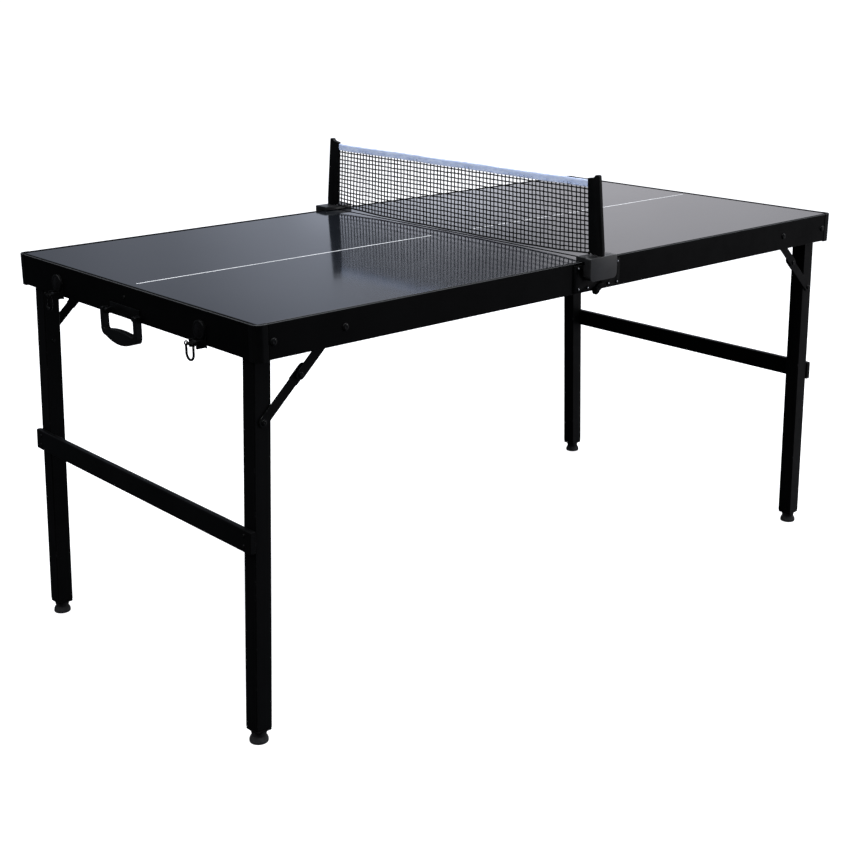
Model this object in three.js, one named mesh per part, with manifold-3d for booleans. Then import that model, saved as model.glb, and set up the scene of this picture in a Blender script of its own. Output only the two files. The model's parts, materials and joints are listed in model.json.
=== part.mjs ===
// Folding mid-size table tennis table, in millimetres, +Z up.
// The origin lies on the floor under the centre of the playing surface. X runs along the length, with the
// carrying handle at the -X (left) end. -Y is the front long side.
import * as THREE from "three";
import { mergeVertices } from "three/addons/utils/BufferGeometryUtils.js";
import Module from "manifold-3d";

const wasm = await Module();
wasm.setup();

// ---- Driving dimensions ----
const TABLE_LENGTH = 1486;
const TABLE_WIDTH = 762;
const DECK_HEIGHT = 711;
const GAP = 0.3; // between pieces that touch

const RAIL_DEPTH = 55.5; // underside of the apron to the deck
const RAIL_THICK = 12;
const RAIL_WALL = 1.2;
const RIM_WIDE = 6.5;
const RIM_PROUD = 0.5; // rim above the deck
const PANEL_THICK = 9.7;

const CAP_SIDE = 22; // length of a corner cap along each apron
const CAP_RADIUS = 13;
const CAP_PROUD = 0.6;
const CAP_LIP = 2; // below the apron

const LEG_SIDE = 31.5;
const LEG_WALL = 1.5;
const LEG_SPLAY = THREE.MathUtils.degToRad(2.2);
const LEG_Y = 335.75; // centre line of a leg
const PIVOT_X = 712;
const PIVOT_Z = 683;
const LEG_TUBE_END = 658; // below the pivot, along the leg
const LEG_SOLID_TOP = 22; // the forged top below the pivot
const BOLT_RADIUS = 4;
const HOLE_RADIUS = 4.3;
const HEAD_RADIUS = 6.5;
const HEAD_THICK = 2.3;
const SPACER_RADIUS = 8;

const BAR_DROP = 325.5; // pivot to the bar's centre, along the leg
const BAR_HIGH = 38;
const BAR_THICK = 11;
const BAR_HALF = 354;

const PAD_RADIUS = 16;
const PAD_HIGH = 12;
const NECK_RADIUS = 13;

const LINK_UPPER_X = 575; // upper pivot of a brace, on the rail
const LINK_LOWER_DROP = 132; // leg pivot to the brace's lower pivot
const LINK_RADIUS = 8.5;
const LOCK_RADIUS = 9.8;
const LOCK_REACH = 10.5; // lock plate past the knee
const LINK_THICK = 2.5;

const HINGE_Z = DECK_HEIGHT - RAIL_DEPTH; // axis of the centre fold
const HINGE_THICK = 2.2;
const LUG_RADIUS = 7.5;
const HINGE_PIN_RADIUS = 3.5;
const RIVET_RADIUS = 3.2;
const RIVET_PROUD = 1.4;

const BRACKET_HALF = 35;
const BRACKET_TOP = 720;
const BRACKET_BOTTOM = 678;
const BRACKET_FACE = 401; // outer face
const POST_HALF_THICK = 3.5;
const POST_TOP = 863;
const TAPE_TOP = 853;
const TAPE_HIGH = 13;
const NET_BOTTOM = 721;
const NET_HALF_BOTTOM = 365.5; // the posts lean in
const NET_HALF_TOP = 359;
const TAPE_HALF = 358.2;

const HANDLE_HALF = 58;
const HANDLE_ARM = 9.5;
const HANDLE_DEEP = 12;
const HANDLE_AXIS_Z = 663;
const HANDLE_AXIS_OUT = 10; // from the apron
const GRIP_TOP = 632; // at the arms; the grip rises a little between them
const GRIP_RISE = 4;
const GRIP_LOW_ENDS = 620.5;
const GRIP_LOW_MIDDLE = 611.5;

const LATCH_Y = 230;
const LATCH_AXIS_Z = 660;
const LATCH_AXIS_OUT = 12; // from the apron
const BAIL_WIRE = 1.3;
const BAIL_HALF = 9;
const BAIL_DROP = 26;

// ---- Derived places ----
const END_X = TABLE_LENGTH / 2;
const SIDE_Y = TABLE_WIDTH / 2;
const RAIL_X = END_X - CAP_PROUD; // outer face of an end rail
const RAIL_Y = SIDE_Y - CAP_PROUD; // outer face of a long rail
const RAIL_IN_X = RAIL_X - RAIL_THICK;
const RAIL_IN_Y = RAIL_Y - RAIL_THICK;
const UNDER_Z = DECK_HEIGHT - RAIL_DEPTH;
const SHOULDER_Z = DECK_HEIGHT - PANEL_THICK - GAP;
const RIM_Z = DECK_HEIGHT + RIM_PROUD;
const LEG_HALF = LEG_SIDE / 2;
const LEG_OUT_Y = LEG_Y + LEG_HALF; // outer face of a leg
const LEG_LENGTH = PIVOT_Z / Math.cos(LEG_SPLAY); // pivot to floor
const LOWER_LINK_Y = LEG_OUT_Y + GAP;
const STUD_HEAD_Y = LOWER_LINK_Y + LINK_THICK + GAP;
const UPPER_LINK_Y = LEG_OUT_Y + 5.5;

// Brace pivots in the XZ plane of the left half. The links lie in one line when the leg is out, and fold flat
// along the rail when the leg is folded, which sets the knee.
const LINK_SPAN = PIVOT_X - LINK_UPPER_X; // leg pivot to the upper pivot
const upperPivot = new THREE.Vector2(-LINK_UPPER_X, PIVOT_Z);
const lowerPivot = new THREE.Vector2(
  -PIVOT_X - LINK_LOWER_DROP * Math.sin(LEG_SPLAY),
  PIVOT_Z - LINK_LOWER_DROP * Math.cos(LEG_SPLAY),
);
const braceLength = upperPivot.distanceTo(lowerPivot);
const lowerLinkLength = (braceLength - (LINK_SPAN - LINK_LOWER_DROP)) / 2;
const knee = lowerPivot.clone().lerp(upperPivot, lowerLinkLength / braceLength);

// ---- Materials ----
const finish = (color, roughness, metalness) => () =>
  new THREE.MeshStandardMaterial({ color, roughness, metalness });
const slateDeck = finish(0x3f444a, 0.3, 0);
const blackSteel = finish(0x141416, 0.4, 0.1);
const blackPlastic = finish(0x1a1a1c, 0.5, 0);
const greyPlastic = finish(0x34363a, 0.45, 0);
const blackRubber = finish(0x101011, 0.8, 0);
const brightSteel = finish(0x8c8f93, 0.3, 1);
const netCord = finish(0x0c0c10, 0.8, 0);
const paleCloth = finish(0xdbe4f0, 0.85, 0);

// ---- Solid helpers ----
function solidOf(geometry) {
  const bare = geometry.clone();
  bare.deleteAttribute("normal");
  bare.deleteAttribute("uv");
  const merged = mergeVertices(bare, 1e-4);
  return new wasm.Manifold(
    new wasm.Mesh({
      numProp: 3,
      vertProperties: new Float32Array(merged.attributes.position.array),
      triVerts: new Uint32Array(merged.index.array),
    }),
  );
}

function geometryOf(solid) {
  const mesh = solid.getMesh();
  const geometry = new THREE.BufferGeometry();
  geometry.setAttribute("position", new THREE.BufferAttribute(mesh.vertProperties, 3));
  geometry.setIndex(new THREE.BufferAttribute(mesh.triVerts, 1));
  const flat = geometry.toNonIndexed();
  flat.computeVertexNormals();
  return flat;
}

const join = (...solids) => solids.reduce((whole, next) => whole.add(next));
const cut = (base, ...tools) => tools.reduce((rest, tool) => rest.subtract(tool), base);

function box([x0, x1], [y0, y1], [z0, z1]) {
  const geometry = new THREE.BoxGeometry(x1 - x0, y1 - y0, z1 - z0);
  geometry.translate((x0 + x1) / 2, (y0 + y1) / 2, (z0 + z1) / 2);
  return solidOf(geometry);
}

// A round bar along Y between y0 and y1, about the point (x, z).
function rodY(radius, y0, y1, x, z, sides = 12) {
  const geometry = new THREE.CylinderGeometry(radius, radius, Math.abs(y1 - y0), sides);
  geometry.translate(x, (y0 + y1) / 2, z);
  return solidOf(geometry);
}

// A round bar along Z.
function rodZ(radius, z0, z1, x, y, sides = 12) {
  const geometry = new THREE.CylinderGeometry(radius, radius, Math.abs(z1 - z0), sides);
  geometry.rotateX(Math.PI / 2);
  geometry.translate(x, y, (z0 + z1) / 2);
  return solidOf(geometry);
}

// A round bar along X.
function rodX(radius, x0, x1, y, z, sides = 20) {
  const geometry = new THREE.CylinderGeometry(radius, radius, Math.abs(x1 - x0), sides);
  geometry.rotateZ(Math.PI / 2);
  geometry.translate((x0 + x1) / 2, y, z);
  return solidOf(geometry);
}

const extrude = (shape, depth, curveSegments) =>
  new THREE.ExtrudeGeometry(shape, { depth, bevelEnabled: false, curveSegments });

// An outline in XZ, given thickness from y0 to y1.
function slabY(shape, y0, y1, curveSegments = 6) {
  const geometry = extrude(shape, y1 - y0, curveSegments);
  geometry.rotateX(Math.PI / 2);
  geometry.translate(0, y1, 0);
  return solidOf(geometry);
}

// An outline in YZ, given thickness from x0 to x1.
function slabX(shape, x0, x1, curveSegments = 6) {
  const geometry = extrude(shape, x1 - x0, curveSegments);
  geometry.rotateX(Math.PI / 2);
  geometry.rotateZ(Math.PI / 2);
  geometry.translate(x0, 0, 0);
  return solidOf(geometry);
}

// An outline in XY, given thickness from z0 to z1.
function slabZ(shape, z0, z1, curveSegments = 6) {
  const geometry = extrude(shape, z1 - z0, curveSegments);
  geometry.translate(0, 0, z0);
  return solidOf(geometry);
}

function polygon(points) {
  return new THREE.Shape(points.map(([u, v]) => new THREE.Vector2(u, v)));
}

function roundedRectangle(u0, u1, v0, v1, radiusLow, radiusHigh) {
  const shape = new THREE.Shape();
  shape.moveTo(u0 + radiusLow, v0);
  shape.lineTo(u1 - radiusLow, v0);
  shape.absarc(u1 - radiusLow, v0 + radiusLow, radiusLow, -Math.PI / 2, 0);
  shape.lineTo(u1, v1 - radiusHigh);
  shape.absarc(u1 - radiusHigh, v1 - radiusHigh, radiusHigh, 0, Math.PI / 2);
  shape.lineTo(u0 + radiusHigh, v1);
  shape.absarc(u0 + radiusHigh, v1 - radiusHigh, radiusHigh, Math.PI / 2, Math.PI);
  shape.lineTo(u0, v0 + radiusLow);
  shape.absarc(u0 + radiusLow, v0 + radiusLow, radiusLow, Math.PI, 1.5 * Math.PI);
  return shape;
}

// The outline of a flat link with a round end about each of two points.
function linkOutline(from, to, radius) {
  const along = Math.atan2(to.y - from.y, to.x - from.x);
  const shape = new THREE.Shape();
  shape.absarc(to.x, to.y, radius, along - Math.PI / 2, along + Math.PI / 2);
  shape.absarc(from.x, from.y, radius, along + Math.PI / 2, along + 1.5 * Math.PI);
  return shape;
}

const group = new THREE.Group();

function add(parent, name, solid, material) {
  const mesh = new THREE.Mesh(geometryOf(solid), material());
  mesh.name = name;
  parent.add(mesh);
}

// ---- Frame of one half, modelled as the left half and the front row ----

// Section of a rail across its thickness: out is its outer face, inward is +1 or -1 towards the table's middle.
function railSection(out, inward, topZ) {
  const at = (distance) => out + inward * distance;
  return polygon([
    [at(0), UNDER_Z],
    [at(0), topZ],
    [at(RIM_WIDE), topZ],
    [at(RIM_WIDE), SHOULDER_Z],
    [at(RAIL_THICK), SHOULDER_Z],
    [at(RAIL_THICK), UNDER_Z],
  ]);
}

function longRail() {
  const start = -END_X + CAP_SIDE + GAP;
  const outer = slabX(railSection(-RAIL_Y, 1, RIM_Z), start, -GAP);
  const inside = box(
    [start - 1, 1],
    [-RAIL_Y + RAIL_WALL, -RAIL_IN_Y - RAIL_WALL],
    [UNDER_Z + RAIL_WALL, SHOULDER_Z - RAIL_WALL],
  );
  const holeY = [-RAIL_Y - 1, -RAIL_IN_Y + 1];
  return cut(
    outer,
    inside,
    rodY(HOLE_RADIUS, ...holeY, -PIVOT_X, PIVOT_Z),
    rodY(HOLE_RADIUS, ...holeY, -LINK_UPPER_X, PIVOT_Z),
  );
}

function endRail() {
  const half = SIDE_Y - CAP_SIDE - GAP;
  const outer = slabY(railSection(-RAIL_X, 1, RIM_Z), -half, half);
  const inside = box(
    [-RAIL_X + RAIL_WALL, -RAIL_IN_X - RAIL_WALL],
    [-half - 1, half + 1],
    [UNDER_Z + RAIL_WALL, SHOULDER_Z - RAIL_WALL],
  );
  return cut(outer, inside);
}

function centreRail() {
  const half = RAIL_IN_Y - GAP;
  const outer = box([-GAP - RAIL_THICK, -GAP], [-half, half], [UNDER_Z, SHOULDER_Z]);
  const inside = box(
    [-GAP - RAIL_THICK + RAIL_WALL, -GAP - RAIL_WALL],
    [-half - 1, half + 1],
    [UNDER_Z + RAIL_WALL, SHOULDER_Z - RAIL_WALL],
  );
  return cut(outer, inside);
}

function deckPanel() {
  const x0 = -RAIL_X + RIM_WIDE + GAP;
  const y1 = RAIL_Y - RIM_WIDE - GAP;
  return box([x0, -GAP - 0.2], [-y1, y1], [SHOULDER_Z + GAP, DECK_HEIGHT]);
}

// An angle round one corner: a rounded outer edge and two arms.
function capOutline(thick) {
  const shape = new THREE.Shape();
  const cx = -END_X + CAP_RADIUS;
  const cy = -SIDE_Y + CAP_RADIUS;
  shape.moveTo(-END_X + CAP_SIDE, -SIDE_Y + thick);
  shape.lineTo(-END_X + thick, -SIDE_Y + thick);
  shape.lineTo(-END_X + thick, -SIDE_Y + CAP_SIDE);
  shape.lineTo(-END_X, -SIDE_Y + CAP_SIDE);
  shape.absarc(cx, cy, CAP_RADIUS, Math.PI, 1.5 * Math.PI);
  shape.lineTo(-END_X + CAP_SIDE, -SIDE_Y);
  return shape;
}

function cornerCap() {
  return join(
    slabZ(capOutline(RAIL_THICK + CAP_PROUD), UNDER_Z - CAP_LIP, SHOULDER_Z, 7),
    slabZ(capOutline(RIM_WIDE + CAP_PROUD), SHOULDER_Z - 1, RIM_Z + 0.3, 7),
  );
}

// Head outside the apron, shank through it, spacer bush, shank through the leg and a lock nut inside.
function legPivotBolt() {
  const headY = -RAIL_Y - GAP;
  return join(
    rodY(HEAD_RADIUS, headY - HEAD_THICK, headY, -PIVOT_X, PIVOT_Z),
    rodY(BOLT_RADIUS, headY - 1, -LEG_Y + LEG_HALF + 6, -PIVOT_X, PIVOT_Z),
    rodY(SPACER_RADIUS, -RAIL_IN_Y + GAP, -LEG_OUT_Y - GAP, -PIVOT_X, PIVOT_Z),
    rodY(HEAD_RADIUS, -LEG_Y + LEG_HALF + GAP, -LEG_Y + LEG_HALF + 6, -PIVOT_X, PIVOT_Z, 6),
  );
}

// ---- Leg frame. Its own origin is the pivot, with the leg hanging along -Z ----

function leg() {
  const outline = new THREE.Shape();
  outline.moveTo(-LEG_HALF, -LEG_TUBE_END);
  outline.lineTo(LEG_HALF, -LEG_TUBE_END);
  outline.absarc(0, 0, LEG_HALF, 0, Math.PI);
  const y0 = -LEG_OUT_Y;
  const y1 = -LEG_Y + LEG_HALF;
  const hollow = box(
    [-LEG_HALF + LEG_WALL, LEG_HALF - LEG_WALL],
    [y0 + LEG_WALL, y1 - LEG_WALL],
    [-LEG_TUBE_END - 1, -LEG_SOLID_TOP],
  );
  const tube = cut(
    slabY(outline, y0, y1, 12),
    hollow,
    rodY(HOLE_RADIUS, y0 - 1, y1 + 1, 0, 0),
  );
  const stud = rodY(BOLT_RADIUS, y0 + 1, -STUD_HEAD_Y - 1, 0, -LINK_LOWER_DROP);
  const head = rodY(HEAD_RADIUS, -STUD_HEAD_Y, -STUD_HEAD_Y - 2, 0, -LINK_LOWER_DROP);
  return join(tube, stud, head);
}

function legPlug() {
  const inner = LEG_HALF - LEG_WALL - GAP;
  const body = box(
    [-inner, inner],
    [-LEG_Y - inner, -LEG_Y + inner],
    [-LEG_TUBE_END - 2, -LEG_TUBE_END + 20],
  );
  const flange = box(
    [-LEG_HALF, LEG_HALF],
    [-LEG_OUT_Y, -LEG_Y + LEG_HALF],
    [-LEG_TUBE_END - 3.3, -LEG_TUBE_END - GAP],
  );
  return cut(join(body, flange), rodZ(HOLE_RADIUS, -LEG_TUBE_END - 9, -LEG_TUBE_END + 30, 0, -LEG_Y));
}

// Threaded stem and neck in line with the leg, on a pad that stays level on the floor.
function foot() {
  const neckTop = -LEG_TUBE_END - 3.3 - GAP;
  const stem = rodZ(BOLT_RADIUS, neckTop + 16, neckTop - 2, 0, -LEG_Y);
  const neck = rodZ(NECK_RADIUS, neckTop, -LEG_LENGTH + PAD_HIGH - 2, 0, -LEG_Y, 16);
  const profile = [
    [0, 0],
    [PAD_RADIUS - 1.5, 0],
    [PAD_RADIUS, 1.5],
    [PAD_RADIUS, PAD_HIGH - 3],
    [PAD_RADIUS - 2.5, PAD_HIGH],
    [0, PAD_HIGH],
  ].map(([r, z]) => new THREE.Vector2(r, z));
  const pad = new THREE.LatheGeometry(profile, 20);
  pad.rotateX(Math.PI / 2);
  pad.rotateY(-LEG_SPLAY);
  pad.translate(0, -LEG_Y, -LEG_LENGTH);
  return join(stem, neck, solidOf(pad));
}

function crossBar() {
  const x1 = -LEG_HALF - GAP;
  const x0 = x1 - BAR_THICK;
  const z0 = -BAR_DROP - BAR_HIGH / 2;
  const z1 = -BAR_DROP + BAR_HIGH / 2;
  return cut(
    box([x0, x1], [-BAR_HALF, BAR_HALF], [z0, z1]),
    box(
      [x0 + LEG_WALL, x1 - LEG_WALL],
      [-BAR_HALF - 1, BAR_HALF + 1],
      [z0 + LEG_WALL, z1 - LEG_WALL],
    ),
  );
}

// ---- Folding braces, in the frame of the half ----

// The upper link carries its shouldered pivot pin, which turns in the rail, and the knee rivet.
function upperLink() {
  const inner = -UPPER_LINK_Y;
  const outer = inner - LINK_THICK;
  const pinHead = -RAIL_Y - GAP;
  return join(
    slabY(linkOutline(upperPivot, knee, LINK_RADIUS), outer, inner, 6),
    rodY(SPACER_RADIUS, -RAIL_IN_Y + GAP, outer + 1, upperPivot.x, upperPivot.y),
    rodY(BOLT_RADIUS, pinHead - 1, outer, upperPivot.x, upperPivot.y),
    rodY(HEAD_RADIUS, pinHead - HEAD_THICK, pinHead, upperPivot.x, upperPivot.y),
    rodY(HEAD_RADIUS - 1, outer - 2, outer + 1, knee.x, knee.y),
    rodY(BOLT_RADIUS, inner - 1, -STUD_HEAD_Y, knee.x, knee.y),
  );
}

// The lower link widens into the lock plate at the knee.
function lowerLink() {
  const along = upperPivot.clone().sub(lowerPivot).normalize();
  const lockStart = knee.clone().addScaledVector(along, -LOCK_REACH / 2);
  const lockEnd = knee.clone().addScaledVector(along, LOCK_REACH);
  const y0 = -LOWER_LINK_Y - LINK_THICK;
  const y1 = -LOWER_LINK_Y;
  return cut(
    join(
      slabY(linkOutline(lowerPivot, knee, LINK_RADIUS), y0, y1, 6),
      slabY(linkOutline(lockStart, lockEnd, LOCK_RADIUS), y0, y1, 6),
    ),
    rodY(HOLE_RADIUS, y0 - 1, y1 + 1, lowerPivot.x, lowerPivot.y),
  );
}

// ---- Centre hinge ----

const hingeOuter = -RAIL_Y - GAP - HINGE_THICK;
const rivetY = (x, z) => rodY(RIVET_RADIUS, hingeOuter - RIVET_PROUD, hingeOuter + 1, x, z, 8);

// The left plate carries the hinge pin.
function leftHingePlate() {
  const plate = polygon([
    [-58, UNDER_Z + 2],
    [-LUG_RADIUS, UNDER_Z + 2],
    [-LUG_RADIUS, UNDER_Z],
    [LUG_RADIUS, UNDER_Z],
    [LUG_RADIUS, UNDER_Z + 8],
    [-1, UNDER_Z + 16],
    [-1, DECK_HEIGHT - 4],
    [-58, DECK_HEIGHT - 4],
  ]);
  const lugInner = -RAIL_Y - GAP;
  const pinEnd = hingeOuter - HINGE_THICK - 0.9;
  return join(
    slabY(plate, hingeOuter, lugInner),
    rodY(LUG_RADIUS, hingeOuter, lugInner, 0, HINGE_Z),
    rodY(HINGE_PIN_RADIUS, pinEnd - 1, hingeOuter + 1, 0, HINGE_Z, 12),
    rodY(HINGE_PIN_RADIUS + 2, pinEnd - 2.2, pinEnd, 0, HINGE_Z, 12),
    rivetY(-48, 702),
    rivetY(-46, 664),
    rivetY(-22, 664),
  );
}

// The right plate steps outwards, so that its lug turns in front of the left one. It is modelled in place.
function rightHingePlate() {
  const lugInner = hingeOuter - GAP;
  const lugOuter = lugInner - HINGE_THICK;
  const lugTop = UNDER_Z + 12;
  const arm = polygon([
    [0, HINGE_Z - LUG_RADIUS],
    [14, UNDER_Z + 2],
    [24, UNDER_Z + 2],
    [24, lugTop],
    [4, lugTop],
    [-LUG_RADIUS, HINGE_Z],
  ]);
  return cut(
    join(
      box([14, 64], [hingeOuter, -RAIL_Y - GAP], [UNDER_Z + 2, DECK_HEIGHT - 4]),
      box([16, 24], [lugOuter, hingeOuter + 1], [UNDER_Z + 2, lugTop]),
      slabY(arm, lugOuter, lugInner),
      rodY(LUG_RADIUS, lugOuter, lugInner, 0, HINGE_Z),
      rivetY(34, 664),
      rivetY(57, 664),
      rivetY(57, 702),
    ),
    rodY(HINGE_PIN_RADIUS + GAP, lugOuter - 1, lugInner + 1, 0, HINGE_Z, 12),
  );
}

// ---- Net set ----

// A cover over the seam with a socket for the post, fixed to the left rail only.
function netBracket() {
  const inner = -386;
  const cover = slabY(
    roundedRectangle(-BRACKET_HALF, BRACKET_HALF, BRACKET_BOTTOM, BRACKET_TOP, 9, 2.5),
    -BRACKET_FACE,
    inner,
  );
  const shelf = box(
    [-BRACKET_HALF, BRACKET_HALF],
    [inner - 1, -365],
    [RIM_Z + 0.6, BRACKET_TOP],
  );
  const mount = box([-BRACKET_HALF, -12], [inner - 1, hingeOuter - GAP], [BRACKET_BOTTOM + 8, 706]);
  const socket = box(
    [-POST_HALF_THICK - 0.5, POST_HALF_THICK + 0.5],
    [-397.8, -387.6],
    [688, BRACKET_TOP + 1],
  );
  return cut(join(cover, shelf, mount), socket);
}

// A flat moulded post, wider at its foot, with a raised outer flange and a tongue for the socket.
function netPost() {
  const base = BRACKET_TOP + 0.4;
  const shape = new THREE.Shape();
  shape.moveTo(-373, base);
  shape.lineTo(-365.5, base + 9);
  shape.lineTo(-358.5, 856);
  shape.lineTo(-369, 857.5);
  shape.quadraticCurveTo(-373.5, 858.2, -375.5, POST_TOP - 1.6);
  shape.quadraticCurveTo(-376.5, POST_TOP, -378.5, POST_TOP);
  shape.lineTo(-382, POST_TOP);
  shape.quadraticCurveTo(-385, POST_TOP, -385.2, POST_TOP - 3.6);
  shape.lineTo(-398.6, 732);
  shape.lineTo(-398.6, base);
  shape.lineTo(-397.4, base);
  shape.lineTo(-397.4, 690);
  shape.lineTo(-388, 690);
  shape.lineTo(-388, base);
  return slabX(shape, -POST_HALF_THICK, POST_HALF_THICK, 5);
}

function netMesh() {
  const top = TAPE_TOP - TAPE_HIGH - GAP;
  const sheet = polygon([
    [-NET_HALF_BOTTOM, NET_BOTTOM],
    [NET_HALF_BOTTOM, NET_BOTTOM],
    [NET_HALF_TOP, top],
    [-NET_HALF_TOP, top],
  ]);
  return slabX(sheet, -0.8, 0.8);
}

function netTape() {
  return box([-1.6, 1.6], [-TAPE_HALF, TAPE_HALF], [TAPE_TOP - TAPE_HIGH, TAPE_TOP]);
}

// ---- Left end: carrying handle and draw latches ----

const handleAxisX = -RAIL_X - HANDLE_AXIS_OUT;

function handleBracket() {
  const face = -RAIL_X - GAP;
  const earInner = HANDLE_HALF - HANDLE_ARM - 7;
  const earOuter = HANDLE_HALF - HANDLE_ARM - 0.5;
  const ear = (sign) => {
    const y0 = sign * earInner;
    const y1 = sign * earOuter;
    const span = [Math.min(y0, y1), Math.max(y0, y1)];
    return join(
      box([handleAxisX, face], span, [HANDLE_AXIS_Z - 5, HANDLE_AXIS_Z + 5]),
      rodY(5, ...span, handleAxisX, HANDLE_AXIS_Z),
      rodY(2.6, y0, sign * (HANDLE_HALF - 3), handleAxisX, HANDLE_AXIS_Z),
    );
  };
  const plate = box([face - 2, face], [-earOuter, earOuter], [UNDER_Z + 1.5, UNDER_Z + 22]);
  return join(plate, ear(1), ear(-1));
}

// Two arms and a bowed grip, deepest in the middle.
function handle() {
  const half = HANDLE_HALF;
  const shape = new THREE.Shape();
  const eye = 6.2;
  shape.moveTo(-half, HANDLE_AXIS_Z + eye - 3);
  shape.lineTo(-half, GRIP_LOW_ENDS + 9);
  shape.quadraticCurveTo(-half + 1, GRIP_LOW_ENDS + 2, -half + 10, GRIP_LOW_ENDS);
  shape.quadraticCurveTo(0, 2 * GRIP_LOW_MIDDLE - GRIP_LOW_ENDS, half - 10, GRIP_LOW_ENDS);
  shape.quadraticCurveTo(half - 1, GRIP_LOW_ENDS + 2, half, GRIP_LOW_ENDS + 9);
  shape.lineTo(half, HANDLE_AXIS_Z + eye - 3);
  shape.lineTo(half - 3, HANDLE_AXIS_Z + eye);
  shape.lineTo(half - HANDLE_ARM, HANDLE_AXIS_Z + eye);
  shape.lineTo(half - HANDLE_ARM, GRIP_TOP + 5);
  shape.lineTo(half - HANDLE_ARM - 5, GRIP_TOP);
  shape.quadraticCurveTo(0, GRIP_TOP + 2 * GRIP_RISE, -half + HANDLE_ARM + 5, GRIP_TOP);
  shape.lineTo(-half + HANDLE_ARM, GRIP_TOP + 5);
  shape.lineTo(-half + HANDLE_ARM, HANDLE_AXIS_Z + eye);
  shape.lineTo(-half + 3, HANDLE_AXIS_Z + eye);
  const x0 = handleAxisX - eye;
  const body = slabX(shape, x0, x0 + HANDLE_DEEP, 8);
  const hole = rodY(2.9, -half + 2.5, half - 2.5, handleAxisX, HANDLE_AXIS_Z);
  return cut(body, hole);
}

const latchAxisX = -RAIL_X - LATCH_AXIS_OUT;

// Base plate with a round boss, and a lower block that holds the lever's pivot.
function latchBase(y) {
  const face = -RAIL_X - GAP;
  const blockX = [latchAxisX - 4, face];
  const cheek = (sign) => {
    const span = [y + sign * 12, y + sign * 8];
    return box(blockX, [Math.min(...span), Math.max(...span)], [LATCH_AXIS_Z - 8, LATCH_AXIS_Z + 5]);
  };
  return join(
    box([face - 2, face], [y - 16, y + 16], [LATCH_AXIS_Z - 8, 688]),
    rodX(16, face - 5, face, y, 679),
    cheek(1),
    cheek(-1),
    rodY(2, y - 9, y + 9, latchAxisX, LATCH_AXIS_Z, 12),
  );
}

// A short over-centre lever, standing open straight out from the apron, with the bail's pivot pin.
function latchLever(y) {
  const reach = latchAxisX - 13;
  const eye = rodY(4.2, y - 7.5, y + 7.5, latchAxisX, LATCH_AXIS_Z);
  const tab = box([reach, latchAxisX], [y - 6, y + 6], [LATCH_AXIS_Z - 1.8, LATCH_AXIS_Z + 1.8]);
  const pin = rodY(1.5, y - 8.4, y + 8.4, reach + 3, LATCH_AXIS_Z, 8);
  return cut(join(eye, tab, pin), rodY(2.3, y - 8, y + 8, latchAxisX, LATCH_AXIS_Z, 12));
}

// A wire loop that hangs from the lever's pin by an eye at each end.
function latchBail(y) {
  const x = latchAxisX - 10;
  const wireY = BAIL_HALF + 1.4;
  const top = LATCH_AXIS_Z;
  const bend = wireY;
  const route = new THREE.CurvePath();
  const start = new THREE.Vector3(x, y - wireY, top - 2);
  const low = top - BAIL_DROP + bend;
  route.add(new THREE.LineCurve3(start, new THREE.Vector3(x, y - wireY, low)));
  const arc = [];
  const steps = 8;
  for (let i = 0; i <= steps; i += 1) {
    const angle = Math.PI + (Math.PI * i) / steps;
    arc.push(new THREE.Vector3(x, y + wireY * Math.cos(angle), low + bend * Math.sin(angle)));
  }
  for (let i = 0; i < steps; i += 1) {
    route.add(new THREE.LineCurve3(arc[i], arc[i + 1]));
  }
  route.add(new THREE.LineCurve3(arc[steps], new THREE.Vector3(x, y + wireY, top - 2)));
  const section = new THREE.Shape();
  section.absarc(0, 0, BAIL_WIRE, 0, 2 * Math.PI);
  const wire = new THREE.ExtrudeGeometry(section, {
    steps: 12,
    curveSegments: 3,
    extrudePath: route,
    bevelEnabled: false,
  });
  const eye = (sign) => {
    const y0 = y + sign * BAIL_HALF;
    const y1 = y + sign * (wireY + BAIL_WIRE);
    return cut(
      rodY(3.4, Math.min(y0, y1), Math.max(y0, y1), x, top, 10),
      rodY(1.9, Math.min(y0, y1) - 1, Math.max(y0, y1) + 1, x, top, 10),
    );
  };
  return join(solidOf(wire), eye(1), eye(-1));
}

// A hooked plate on the right end for the bail to pull on when the table is folded. Modelled on the left.
function latchKeeper(y) {
  const face = -RAIL_X - GAP;
  return join(
    box([face - 2, face], [y - 10, y + 10], [668, 690]),
    box([face - 7, face], [y - 7, y + 7], [676, 679]),
    box([face - 7, face - 5], [y - 7, y + 7], [676, 684]),
  );
}

// ---- Assembly ----

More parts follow.
